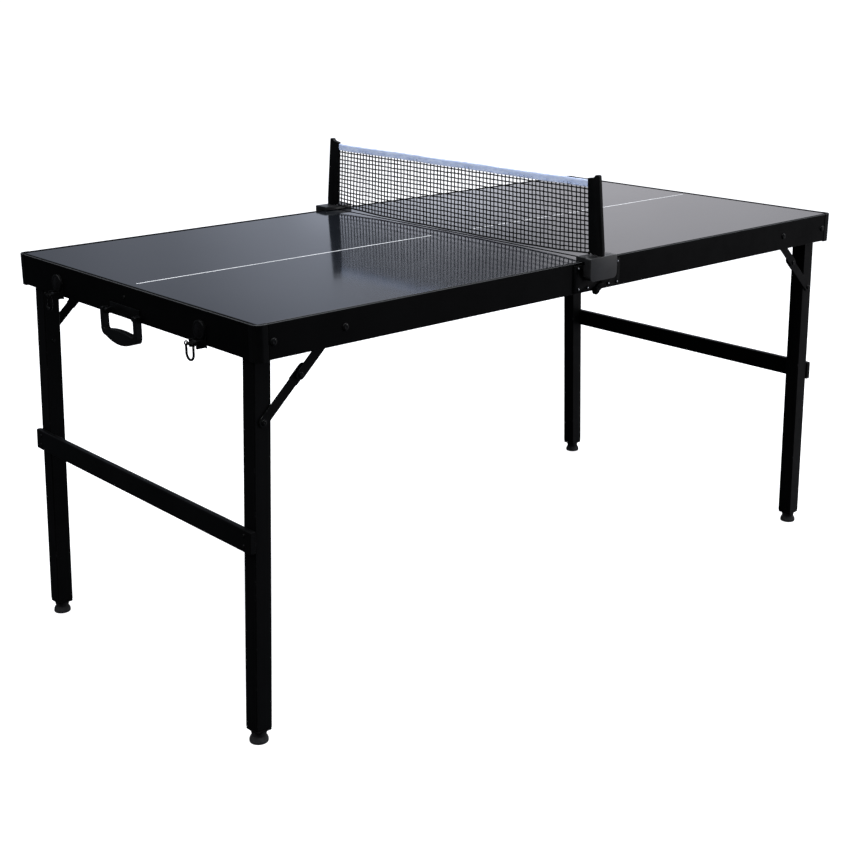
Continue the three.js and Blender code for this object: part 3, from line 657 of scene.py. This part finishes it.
def corner_cap():
    """A rounded angle over the meeting aprons, with a lip under them and moulded ribs inside."""
    lo, hi = box_mm("left_front_corner_cap")
    radius = 13

    def outline(inset, thick):
        x0, y0 = lo.x + inset, lo.y + inset
        r = radius - inset
        return (
            [(hi.x, lo.y + thick), (lo.x + thick, lo.y + thick), (lo.x + thick, hi.y), (x0, hi.y)]
            + arc(x0 + r, y0 + r, r, 180, 270, 14)
            + [(hi.x, y0)]
        )

    rim = rim_y - lo.y
    shape = Shape().prism(outline(0, rim), "Z", lo.z, hi.z + PROUD, 1.0, 3).rim(hi.z, (-1, -1, 0))
    return shape.prism(outline(2, rail_hi.y - lo.y), "Z", lo.z + 0.6, shoulder_z, 0.5, 2)


def inner_rail():
    x, y, z = zip(middle_lo, middle_hi)
    return Shape().block(x, y, z, 0.8, 3)


quarters(long_rail(), "{side}_{row}_apron", "frame", "frame", "{side}_half", "{side}_{row}_rail")
quarters(corner_cap(), "{side}_{row}_cap", "cap", "cap", "{side}_half", "{side}_{row}_corner_cap")
halves(end_rail(), "{side}_end_apron", "frame", "frame", "{side}_half", "{side}_end_rail")
halves(inner_rail(), "{side}_inner_rail", "frame", "frame", "{side}_half", "{side}_centre_rail")

BACKING = 1.2
# The seam and border widths below are of the black bands round the board, which are partly painted shade for
# the gaps.
SEAM_BAND_AND_SHADE_WIDTH = 3.3
BORDER = 2.4
LAP = 0.05
LINE_HALF = 1.5
LINE_FROM_END = 17
LINE_FROM_MIDDLE = 57
board_x = (panel_lo.x + BORDER, panel_hi.x - SEAM_BAND_AND_SHADE_WIDTH)
board_y = (panel_lo.y + BORDER, panel_hi.y - BORDER)


def deck_board():
    return Shape().block(board_x, board_y, (panel_lo.z + BACKING, deck_z), 0.5, 3)


def edge_bands_and_gap_shade():
    """Black bands set round the board: wide at the seam, narrow against the aprons. They are partly edge
    banding and partly painted shade for the gaps at the seam and along the rims.
    """
    z = (panel_lo.z, deck_z - 0.1)
    y = (panel_lo.y, panel_hi.y)
    shape = Shape().block((board_x[1] - LAP, panel_hi.x), y, z, 0.45, 3)
    shape.block((panel_lo.x, board_x[0] + LAP), y, z, 0.45, 3)
    shape.block(board_x, (y[0], board_y[0] + LAP), z, 0.45, 3)
    return shape.block(board_x, (board_y[1] - LAP, y[1]), z, 0.45, 3)


def backing_sheet():
    gap = 0.2
    x = (board_x[0] + gap, board_x[1] - gap)
    y = (board_y[0] + gap, board_y[1] - gap)
    return Shape().block(x, y, (panel_lo.z, panel_lo.z + BACKING + 0.1), 0.2, 1)


def centre_line():
    x = (panel_lo.x + LINE_FROM_END, -LINE_FROM_MIDDLE)
    return Shape().block(x, (-LINE_HALF, LINE_HALF), (deck_z - 0.3, deck_z + 0.12), 0.1, 1)


halves(deck_board(), "{side}_deck_board", "deck", "deck", "{side}_half", "{side}_deck_panel")
halves(backing_sheet(), "{side}_deck_backing", "backing", None, "{side}_half")
halves(edge_bands_and_gap_shade(), "{side}_deck_edge_band", "band_and_gap_shade", None, "{side}_half")
halves(centre_line(), "{side}_centre_line", "line", None, "{side}_half")


# ---- Leg frames ----

BOLT_HEAD = 6.5
BOLT_RISE = 2.3
PIN = 4
BUSH = 8
CLEAR = 0.3


def bolt_head(pivot):
    """A domed head on the apron's outer face."""
    return Shape().rivet((pivot.x, rail_lo.y - CLEAR, pivot.z), (0, -1, 0), BOLT_HEAD, BOLT_RISE)


def leg_bolt_inside():
    """Shank, spacer bush and lock nut between the apron and the leg."""
    x, z = leg_pivot.x, leg_pivot.z
    inner = leg_y + leg_half + CLEAR
    shape = Shape().pin((x, rail_lo.y, z), (0, 1, 0), PIN, inner + 6 - rail_lo.y)
    long = leg_y - leg_half - CLEAR - (rail_hi.y + CLEAR)
    bush = [(0, 0), (BUSH - 0.4, 0), (BUSH, 0.4), (BUSH, long - 0.4), (BUSH - 0.4, long), (0, long)]
    shape.lathe(bush, (x, rail_hi.y + CLEAR, z), (0, 1, 0), 24)
    nut = arc(x, z, 7.2, 0, 300, 5)
    return shape.prism(nut, "Y", inner, inner + 5, 0.5, 2)


LEG_BOLT = "{side}_{row}_leg_bolt"
quarters(bolt_head(leg_pivot), LEG_BOLT + "_head", "bolt", "hardware", "{side}_half", LEG_BOLT)
quarters(leg_bolt_inside(), LEG_BOLT + "_shank", "hardware", "hardware", "{side}_half")

LEG_END = -658.0
bar_centre = leg_frame.inverted() @ ((bar_lo + bar_hi) / 2)
BAR_THICK = 11
BAR_HIGH = 38
STOP_DROP = 64  # the stop rivet below the leg's pivot
STUD_Y = leg_y - leg_half - 3.1  # outer face of the lower link's washer
NECK_TOP = LEG_END - 3.6
PAD_HIGH = 12
foot_drop = -leg_pivot.z / math.cos(splay)
foot_x = (leg_frame @ Vector((0, 0, foot_drop))).x


def leg_tube():
    outline = [(-leg_half, LEG_END), (leg_half, LEG_END)] + arc(0, 0, leg_half, 0, 180, 16)
    return Shape().prism(outline, "Y", leg_y - leg_half, leg_y + leg_half, 2.0, 4)


def leg_rivets():
    """Tails of the brace stud and of the stop rivet on the inner face, and the stud's washer outside."""
    inner = leg_y + leg_half
    shape = Shape().rivet((0, inner, -link_drop), (0, 1, 0), 4.2, 1.6)
    shape.rivet((0, inner, -STOP_DROP), (0, 1, 0), 3.4, 1.3)
    return shape.rivet((0, STUD_Y, -link_drop), (0, -1, 0), 5.2, 2.2)


def leg_stud():
    """The stud under the lower link, standing on the leg's outer face."""
    outer = leg_y - leg_half
    long = outer - STUD_Y
    ring = [(0, -0.5), (PIN, -0.5), (PIN, long - 0.4), (7.4, long - 0.4), (7.6, long), (0, long)]
    return Shape().lathe(ring, (0, outer, -link_drop), (0, -1, 0), 24)


def leg_plug():
    a = leg_half
    outline = rounded(-a, a, leg_y - a, leg_y + a, 3.2, 5)
    shape = Shape().prism(outline, "Z", LEG_END - 3.3, LEG_END - 0.2, 0.8, 3)
    collar = [(0, 0), (13.6, 0), (14.0, -0.4), (14.0, -1.0), (13.4, -1.5), (0, -1.5)]
    return shape.lathe(collar, (0, leg_y, LEG_END - 2.6), (0, 0, 1), 28)


def foot_neck():
    """Threaded neck with a fluted adjusting ring, in line with the leg."""
    low = foot_drop + PAD_HIGH / 2
    long = NECK_TOP - low
    plain = [(0, 0), (12.4, 0), (12.4, long - 1.4), (11.8, long - 0.4), (0, long - 0.4)]
    shape = Shape().lathe(plain, (0, leg_y, low), (0, 0, 1), 32)
    ring = [(0, 0), (12.8, 0), (13.2, 0.4), (13.2, 3.0), (12.8, 3.4), (0, 3.4)]
    return shape.lathe(ring, (0, leg_y, NECK_TOP - 6.0), (0, 0, 1), 96, 24, 0.45)


def foot_stem():
    """Threaded stem above the neck, inside the leg's plug until the foot is screwed out."""
    pitch, turns, root, crest = 1.5, 12, 4.2, 5.0
    profile = [(0, 0), (root, 0)]
    for k in range(turns):
        low = k * pitch
        profile += [(root, low + 0.2), (crest, low + 0.65), (crest, low + 0.85), (root, low + 1.3)]
    profile += [(root, turns * pitch), (0, turns * pitch)]
    return Shape().lathe(profile, (0, leg_y, NECK_TOP - 0.6), (0, 0, 1), 24)


def foot_pad():
    """Moulded pad, flared under the neck, level on the floor."""
    profile = [(0, 0), (14.4, 0), (15.4, 0.5), (16.0, 1.5), (16.0, 5.4), (15.7, 6.0), (15.2, 6.3)]
    profile += [(15.6, 6.7), (15.3, 7.8), (14.1, 10.0), (13.1, 11.4), (12.8, PAD_HIGH), (0, PAD_HIGH)]
    return Shape().lathe(profile, (foot_x, (foot_lo.y + foot_hi.y) / 2, 0), (0, 0, 1), 40)


def bar_section(inset, radius, steps):
    across, up = BAR_THICK / 2 - inset, BAR_HIGH / 2 - inset
    x, z = bar_centre.x, bar_centre.z
    return rounded(x - across, x + across, z - up, z + up, radius, steps)


def cross_bar():
    half = bar_hi.y - 1.5
    return Shape().prism(bar_section(0, 2.2, 5), "Y", -half, half, 0.35, 2)


def bar_plugs():
    """Pressed-in end plugs, a little smaller than the tube and slightly domed."""
    shape = Shape()
    for row in (-1, 1):
        ends = sorted((row * (bar_hi.y - 2.5), row * bar_hi.y))
        shape.prism(bar_section(0.5, 1.8, 4), "Y", ends[0], ends[1], 0.8, 3)
    return shape


def bar_rivets():
    shape = Shape()
    x = bar_centre.x - BAR_THICK / 2
    for row in (-1, 1):
        for rise in (-9, 9):
            shape.rivet((x, row * leg_y, bar_centre.z + rise), (-1, 0, 0), 3.6, 1.5)
    return shape


FRAME_BODY = "{side}_leg_frame"
quarters(leg_tube(), "{side}_{row}_leg_tube", "legs", "legs", FRAME_BODY, "{side}_{row}_leg", True)
quarters(leg_rivets(), "{side}_{row}_leg_rivets", "bolt", "hardware", FRAME_BODY, None, True)
quarters(leg_stud(), "{side}_{row}_leg_stud", "bolt", "hardware", FRAME_BODY, None, True)
quarters(leg_plug(), "{side}_{row}_leg_insert", "cap", "cap", FRAME_BODY, "{side}_{row}_leg_plug", True)
quarters(foot_stem(), "{side}_{row}_foot_stem", "hardware", "hardware", "{side}_{row}_foot", None, True)
quarters(foot_neck(), "{side}_{row}_foot_neck", "rubber", "rubber", "{side}_{row}_foot", None, True)
quarters(foot_pad(), "{side}_{row}_foot_pad", "rubber", "rubber", "{side}_{row}_foot", "{side}_{row}_foot")
halves(cross_bar(), "{side}_cross_tube", "legs", "legs", FRAME_BODY, "{side}_cross_bar", True)
halves(bar_plugs(), "{side}_cross_tube_plugs", "cap", "cap", FRAME_BODY, None, True)
halves(bar_rivets(), "{side}_cross_tube_rivets", "bolt", "hardware", FRAME_BODY, None, True)


# ---- Folding braces ----

LINK_HALF = 8.5
LOCK_HALF = 9.8
LOCK_BACK = 6.0
LOCK_PAST = 10.5
LINK_THICK = 2.5
upper_inner = leg_y - leg_half - 5.5
upper_outer = upper_inner - LINK_THICK


def along_brace(start, points):
    """(distance, offset) pairs from a pivot along the brace, as (x, z)."""
    way = (upper_pivot - lower_pivot).normalized()
    side = Vector((-way.z, 0, way.x))
    return [(start.x + way.x * t + side.x * w, start.z + way.z * t + side.z * w) for t, w in points]


def lower_link():
    """Plate with a round eye, a stepped shoulder and the wider lock plate behind the knee."""
    start = lower_length - LOCK_BACK
    step = [(start - 11, LINK_HALF), (start - 9.6, LOCK_HALF - 0.3), (start - 8.4, LOCK_HALF)]
    outline = arc(0, 0, LINK_HALF, 270, 90, 14) + step
    outline += arc(lower_length + LOCK_PAST, 0, LOCK_HALF, 90, -90, 14)
    outline += [(t, -w) for t, w in reversed(step)]
    y1 = leg_y - leg_half - CLEAR
    return Shape().prism(along_brace(lower_pivot, outline), "Y", y1 - LINK_THICK, y1, 0.5, 2)


def upper_link():
    """Plate with two round eyes, and the bush between it and the apron."""
    far = lower_length - brace
    outline = arc(0, 0, LINK_HALF, 90, -90, 14) + arc(far, 0, LINK_HALF, 270, 90, 14)
    shape = Shape().prism(along_brace(upper_pivot, outline), "Y", upper_outer, upper_inner, 0.5, 2)
    start = rail_hi.y + CLEAR
    long = upper_outer - start
    bush = [(0, 0), (BUSH - 0.4, 0), (BUSH, 0.4), (BUSH, long), (0, long)]
    return shape.lathe(bush, (upper_pivot.x, start, upper_pivot.z), (0, 1, 0), 24)


def upper_link_pins():
    """Knee rivet and its pin, and the pivot pin's shank through the apron."""
    shape = Shape().rivet((knee.x, upper_outer, knee.z), (0, -1, 0), 5.4, 2.0)
    head = rail_lo.y - CLEAR
    shape.pin((upper_pivot.x, head, upper_pivot.z), (0, 1, 0), PIN, upper_outer - head)
    return shape.pin((knee.x, upper_outer + 0.5, knee.z), (0, 1, 0), PIN, LINK_THICK + 2)


UPPER = "{side}_{row}_upper_link"
LOWER = "{side}_{row}_lower_link"
quarters(upper_link(), UPPER + "_plate", "links", "links", UPPER, UPPER)
quarters(upper_link_pins(), UPPER + "_pins", "bolt", "hardware", UPPER)
quarters(bolt_head(upper_pivot), UPPER + "_pin_head", "bolt", "hardware", UPPER)
quarters(lower_link(), LOWER + "_plate", "links", "links", LOWER, LOWER)


# ---- Centre hinges ----

HINGE_THICK = 2.2
HINGE_RIVETS = {  # (x, z) on the plate of each half
    "left": [(-48, 702), (-46, 664), (-22, 664)],
    "right": [(57, 702), (34, 664), (57, 664)],
}


def hinge_rivets(side):
    """Domed rivets with bright set cores, on the plate of one half."""
    face = rail_lo.y - CLEAR - HINGE_THICK
    heads, cores = Shape(), Shape()
    for x, z in HINGE_RIVETS[side]:
        heads.rivet((x, face, z), (0, -1, 0), 3.6, 1.5)
        core = [(0, 0), (1.7, 0), (1.7, 1.5), (1.2, 1.95), (0.5, 2.05), (0, 2.05)]
        cores.lathe(core, (x, face, z), (0, -1, 0), 16)
    return heads, cores


for side in SIDES:
    heads, cores = hinge_rivets(side)
    for row, sy in ROWS.items():
        dress(f"{side}_{row}_hinge_plate", "hinge", 0.45, 2)
        at = mirror(1, sy)
        heads.place(f"{side}_{row}_hinge_rivets", f"{side}_half", "hinge", "hinge", (), at)
        cores.place(f"{side}_{row}_hinge_rivet_cores", f"{side}_half", "hardware", "hardware", (), at)


# ---- Net set ----

for row in ROWS:
    dress(f"{row}_net_bracket", "bracket", 1.1, 3)
    dress(f"{row}_net_post", "post", 1.2, 3)

NET_COLUMNS = 71
NET_ROWS = 15
STRAND = 1.26  # radius of a cord
KNOT = 1.66
ROW_FLAT = 0.45
WEAVE = 0.25  # how far a cord passes to either side at a knot
SAG = 7.0
NET_IN_TAPE = 4
rng = random.Random(11)


def net_edge(z):
    """Half width of the net at a height; the posts lean in."""
    t = (z - net_lo.z) / (net_hi.z - net_lo.z)
    return net_hi.y + (tape_hi.y + 0.3 - net_hi.y) * t


def sag(across):
    """How far the bottom cord hangs below its ends, from -1 at one post to 1 at the other."""
    return SAG * (1 - abs(across) ** 3.5)


def net_strands():
    """Knotted cords, open where their ends run into the tape, the bottom cord and the posts."""
    z0, z1 = net_lo.z, tape_lo.z + NET_IN_TAPE
    lift = [z0 + (z1 - z0) * j / NET_ROWS for j in range(NET_ROWS + 1)]
    drift = [[0.0] * (NET_ROWS + 1) for _ in range(NET_COLUMNS + 1)]
    drop = [[0.0] * (NET_ROWS + 1) for _ in range(NET_COLUMNS + 1)]
    waves = [
        [(rng.uniform(0.2, 0.75), rng.uniform(0.12, 0.75), rng.uniform(0, 6.3)) for _ in range(3)]
        for _ in range(NET_ROWS + 1)
    ]
    for i in range(NET_COLUMNS + 1):
        wander = rng.uniform(-0.7, 0.7)
        for j in range(NET_ROWS + 1):
            wander = 0.85 * (wander + rng.uniform(-0.55, 0.55))
            inside = 0 < i < NET_COLUMNS
            slack = math.sin(math.pi * j / NET_ROWS) ** 0.5
            drift[i][j] = wander if inside else 0.0
            sway = sum(deep * math.sin(i * rate + phase) for deep, rate, phase in waves[j])
            drop[i][j] = slack * (0.75 * sway + rng.uniform(-0.4, 0.4))

    def knot(i, j):
        across = 2 * i / NET_COLUMNS - 1
        z = lift[j] + drop[i][j] - sag(across) * (1 - j / NET_ROWS) ** 1.6
        y = net_edge(lift[j]) * across + drift[i][j]
        return Vector((0, y, z))

    shape = Shape()
    for i in range(NET_COLUMNS + 1):
        path, radii = [], []
        for j in range(NET_ROWS + 1):
            here = knot(i, j)
            path.append(here + Vector((WEAVE * (-1) ** (i + j), 0, 0)))
            radii.append(KNOT)
            if j < NET_ROWS:
                there = knot(i, j + 1)
                for t in (0.22, 0.78):
                    sway = rng.uniform(-0.18, 0.18)
                    path.append(here.lerp(there, t) + Vector((0, sway, 0)))
                    radii.append(STRAND)
        shape.tube(path, radii, 6, caps=False)
    for j in range(1, NET_ROWS):
        path, radii = [], []
        for i in range(NET_COLUMNS + 1):
            here = knot(i, j)
            path.append(here - Vector((WEAVE * (-1) ** (i + j), 0, 0)))
            radii.append(KNOT)
            if i < NET_COLUMNS:
                there = knot(i + 1, j)
                dip = rng.uniform(-0.2, 0.35)
                for t in (0.2, 0.8):
                    path.append(here.lerp(there, t) - Vector((0, 0, dip)))
                    radii.append(STRAND)
        shape.tube(path, radii, 6, caps=False, flat=ROW_FLAT)
    return shape


def bottom_cord():
    """Thicker cord through the last row of knots, tied back to both posts."""
    path = []
    steps, turns = 120, 14
    for i in range(steps + 1):
        across = 2 * i / steps - 1
        z = net_lo.z + 0.7 + 0.25 * math.sin(i * 0.37) - sag(across)
        path.append((0.2 * math.sin(i * 0.9), across * (net_hi.y + 1), z))
    shape = Shape().tube(path, 1.6, 10)
    for end in (-1, 1):
        y = end * (net_hi.y - 1.5)
        angles = [2 * math.pi * k / turns for k in range(turns)]
        loop = [(2.0 * math.cos(a), y, net_lo.z + 0.9 + 2.2 * math.sin(a)) for a in angles]
        shape.tube(loop, 0.8, 8, ring=True)
    return shape


net = net_strands().place("net_strands", "net_set", "net_cord", "net_cord", ("net_mesh",))
net_cord_low = bottom_cord().place("net_bottom_cord", "net_set", "net_cord", "net_cord")

TAPE_RINGS = 150
TAPE_CLOTH = 0.55
TAPE_HALF = 1.6
STITCH_PITCH = 4.2
STITCH_FROM_END = 4


def tape_section(swell, lean):
    """Closed section of a strip folded over the top cord, as (x, z): outside down, inside back up."""
    half = TAPE_HALF + swell
    top, low = tape_hi.z, tape_lo.z
    inner = half - TAPE_CLOTH
    outside = [(-half * 0.78, low), (-half * 0.86, low + 1.2), (-half * 0.95, low + 6)]
    outside += [(-half, top - 2.4), (-half * 0.8, top - 0.9), (-half * 0.35, top - 0.15)]
    full = outside + [(-x, z) for x, z in reversed(outside)]
    inside = [(inner * 0.78, low + 0.05), (inner * 0.95, low + 6), (inner * 0.9, top - 2.5), (0, top - 1.1)]
    full += inside + [(-x, z) for x, z in reversed(inside[:-1])]
    return [(x + lean * (top - z) / (top - low), z) for x, z in full]


def folded_tape():
    points, faces = [], []
    for k in range(TAPE_RINGS + 1):
        t = k / TAPE_RINGS
        y = tape_lo.y + (tape_hi.y - tape_lo.y) * t
        swell = 0.12 * math.sin(k * 0.83) + 0.1 * math.sin(k * 0.31 + 1)
        lean = 0.35 * math.sin(k * 0.21) + 0.2 * math.sin(k * 0.57 + 2)
        lift = 0.35 * math.sin(k * 0.13) + 0.18 * math.sin(k * 0.47 + 0.6)
        section = tape_section(swell, lean)
        points += [(x, y, z + lift - 0.5) for x, z in section]
    n = len(section)
    for k in range(TAPE_RINGS):
        a, b = k * n, (k + 1) * n
        faces += [(a + i, a + (i + 1) % n, b + (i + 1) % n, b + i) for i in range(n)]
    last = TAPE_RINGS * n
    faces += [tuple(range(n)), tuple(range(last, last + n))]
    return Shape().shell(points, faces)


def tape_stitches():
    """Lockstitch along the open edges of the fold, on both faces."""
    shape = Shape()
    count = int((tape_hi.y - tape_lo.y - 2 * STITCH_FROM_END) / STITCH_PITCH)
    for face in (-1, 1):
        for k in range(count):
            y = tape_lo.y + STITCH_FROM_END + k * STITCH_PITCH
            z = tape_lo.z + 2.0 + 0.12 * math.sin(k * 1.7)
            x = face * (TAPE_HALF + 0.12)
            path = [(x * 0.86, y, z), (x, y + 0.5, z), (x, y + 2.2, z), (x * 0.86, y + 2.8, z)]
            shape.tube(path, 0.3, 6)
    return shape


tape = folded_tape().place("net_top_tape", "net_set", "tape", "tape", ("net_tape",))
stitches = tape_stitches().place("net_tape_stitches", "net_set", "tape", "tape")


# ---- Carrying handle ----

HANDLE_ARM = 9.5
HANDLE_OPEN = 632  # underside of the finger gap, above the floor
HANDLE_CROWN = 4


def handle_grip():
    """Two arms and a bowed grip, moulded in one with heavy rounding."""
    half, top, middle = handle_hi.y, handle_hi.z, handle_lo.z
    low = middle + 9
    arm = half - HANDLE_ARM
    gap = HANDLE_OPEN
    right = [(half, top - 5)] + bend((half, top - 5), (half, top), (half - 4, top), 4)
    right += [(arm + 1, top), (arm, top - 1), (arm, gap + 5.5)]
    right += bend((arm, gap + 5.5), (arm, gap), (arm - 5, gap), 5)
    left = [(-y, z) for y, z in reversed(right)]
    crown = bend(right[-1], (0, gap + 2 * HANDLE_CROWN), left[0], 10)
    sole = [(-half, low + 14)] + bend((-half, low + 14), (-half, low + 1), (-half + 14, low), 8)
    sole += bend((-half + 14, low), (0, 2 * middle - low), (half - 14, low), 12)
    sole += bend((half - 14, low), (half, low + 1), (half, low + 14), 8)
    outline = sole + right[1:] + crown + left[1:-1]
    return Shape().prism(outline, "X", handle_lo.x, handle_hi.x, 2.6, 4, 40)


handle_grip().place("carry_handle", "handle", "handle", "handle", ("handle",))
dress("handle_bracket", "cap", 0.6, 2)


END_RIVET = (end_lo.x, 2, 691)
Shape().rivet(END_RIVET, (-1, 0, 0), 3.2, 1.3).place("end_apron_rivet", "left_half", "bolt", "hardware")


# ---- Draw latches ----

latch_lo, latch_hi = box_mm("front_latch_base")
bail_axis = pivot_mm("front_latch_bail_swing")
BOSS = 16
BOSS_Z = 679
BAIL_HALF = 10.4
BAIL_WIRE = 2.0
EYE = 2.7
EYE_WIRE = 1.15


def latch_boss():
    """Pressed round boss with a rolled rim and a shallow dish."""
    y = (latch_lo.y + latch_hi.y) / 2
    profile = [(0, 0), (BOSS, 0), (BOSS, 3.0), (15.5, 4.4), (14.6, 5.2), (13.4, 5.5), (12.2, 5.2)]
    profile += [(11.4, 4.5), (10.6, 4.1), (7, 4.2), (3.4, 4.6), (2.6, 5.3), (1.4, 5.6), (0, 5.7)]
    return Shape().lathe(profile, (end_lo.x - CLEAR, y, BOSS_Z), (-1, 0, 0), 44)


def bail_wire():
    """Sprung wire with an eye at each end and a rounded foot."""
    x, top = bail_axis.x, bail_axis.z
    y = (bail_lo.y + bail_hi.y) / 2
    low = bail_lo.z + 1.3 + BAIL_HALF
    side = [(BAIL_HALF, top - 2.4), (BAIL_HALF, top - 8), (BAIL_HALF - 0.3, low + 6)]
    path = [(x, y - out, z) for out, z in side]
    for i in range(17):
        a = math.pi + math.pi * i / 16
        path.append((x, y + (BAIL_HALF - 0.2) * math.cos(a), low + BAIL_HALF * math.sin(a)))
    path += [(x, y + out, z) for out, z in reversed(side)]
    shape = Shape().tube(path, BAIL_WIRE, 12)
    angles = [2 * math.pi * i / 16 for i in range(16)]
    for end in (-1, 1):
        across = y + end * BAIL_HALF
        eye = [(x + EYE * math.cos(a), across, top + EYE * math.sin(a)) for a in angles]
        shape.tube(eye, EYE_WIRE, 10, ring=True)
    return shape


rows(latch_boss(), "{row}_latch_boss", "latch", "latch", "left_half")
rows(bail_wire(), "{row}_bail_wire", "wire", "latch", "{row}_latch_bail", "{row}_latch_bail")
for row in ROWS:
    dress(f"{row}_latch_base", "latch", 0.5, 2)
    dress(f"{row}_latch_lever", "latch", 0.4, 2)
    dress(f"{row}_latch_keeper", "latch", 0.4, 2)


# ---- Floor and light ----

FLOOR_HALF = 120.0
FLOOR_GLOW = 0.83


def make_floor():
    """A pale, faintly glowing floor, which the table neither mirrors nor is lit by."""
    h = FLOOR_HALF
    mesh = bpy.data.meshes.new("floor")
    mesh.from_pydata([(-h, -h, 0), (h, -h, 0), (h, h, 0), (-h, h, 0)], [], [(0, 1, 2, 3)])
    floor = bpy.data.objects.new("floor", mesh)
    scene.collection.objects.link(floor)
    look = Look("pale_floor", Specular_IOR_Level=0.0, Roughness=1.0, Emission_Strength=FLOOR_GLOW)
    look.shader.inputs["Emission Color"].default_value = grey(1)
    shade = look.mix(look.span(look.noise(0.8, 3), 0.3, 0.7), grey(0.40), grey(0.42))
    mesh.materials.append(look.done(shade))
    floor.visible_glossy = False
    floor.visible_diffuse = False


def area_light(name, at, towards, size, power):
    data = bpy.data.lights.new(name, "AREA")
    data.shape = "RECTANGLE"
    data.size, data.size_y = size
    data.energy = power
    light = bpy.data.objects.new(name, data)
    light.location = at
    light.rotation_mode = "QUATERNION"
    light.rotation_quaternion = (Vector(towards) - Vector(at)).to_track_quat("-Z", "Y")
    scene.collection.objects.link(light)


# Brightness of the surround by the X part of the direction, dark on the left and bright on the right.
# The low band lies near the horizon, where the far half of the deck mirrors it.
SURROUND = [(0.0, 0.05), (0.40, 0.175), (0.50, 0.285), (0.59, 0.475), (0.645, 0.44), (0.685, 0.36)]
SURROUND += [(0.74, 0.86), (0.79, 0.82), (0.86, 0.62), (1.0, 0.62)]
LOW_BAND = [(0.0, 0.05), (0.40, 0.175), (0.50, 0.30), (0.575, 0.48), (0.605, 0.78), (0.665, 1.35)]
LOW_BAND += [(0.74, 0.88), (0.79, 0.80), (0.86, 0.62), (1.0, 0.62)]
COOL = (0.895, 0.965, 1.14)
WARM = (0.92, 0.91, 0.965)
WARM_FROM = 0.6
WARM_OVER = 0.14
BACKDROP = 1.05


def make_world():
    """A soft studio: white backdrop, and a surround that brightens towards the right."""
    world = bpy.data.worlds.new("studio")
    world.use_nodes = True
    world.node_tree.nodes.clear()
    sky = Nodes(world.node_tree)

    def bands(x, levels):
        node = sky.node("ValToRGB", {0: x})
        node.color_ramp.interpolation = "EASE"
        stops = node.color_ramp.elements
        for _ in range(len(levels) - len(stops)):
            stops.new(0.5)
        for stop, (place, amount) in zip(stops, levels):
            warmth = min(1.0, max(0.0, (place - WARM_FROM) / WARM_OVER))
            stop.position = place
            stop.color = [amount * (c + (w - c) * warmth) for c, w in zip(COOL, WARM)] + [1]
        return node.outputs[0]

    def glow(colour, strength):
        return sky.node("Background", {0: colour, 1: strength}).outputs[0]

    way = sky.node("TexCoord").outputs["Generated"]
    x, _, z = sky.node("SeparateXYZ", {0: way}).outputs
    near_horizon = sky.span(z, 0.160, 0.184, 1.0, 0.0)
    colour = sky.mix(near_horizon, bands(x, SURROUND), bands(x, LOW_BAND))
    below, higher = sky.span(z, -0.75, -0.02, 0.35, 1.0), sky.span(z, 0.212, 0.242, 1.0, 0.8)
    sides = glow(colour, sky.maths("MULTIPLY", below, higher))
    above = glow((*COOL, 1), sky.span(z, 0.25, 0.9, 0.0, 0.9))
    surround = sky.node("AddShader", {0: sides, 1: above}).outputs[0]
    seen = sky.node("LightPath").outputs["Is Camera Ray"]
    backdrop = glow((1, 1, 1, 1), BACKDROP)
    both = sky.node("MixShader", {0: seen, 1: surround, 2: backdrop}).outputs[0]
    sky.node("OutputWorld", {"Surface": both})
    scene.world = world


make_floor()
make_world()
area_light("overhead", (0.4, -0.3, 3.4), (0.1, 0, 0), (4.6, 4.2), 210)
area_light("front_right", (2.6, -2.6, 1.5), (0.2, 0, 0.5), (0.45, 0.45), 20)
area_light("left_high", (-3.0, -0.6, 2.8), (0, 0, 0.7), (0.9, 0.9), 40)
scene.view_settings.view_transform = "Standard"
scene.view_settings.look = "None"
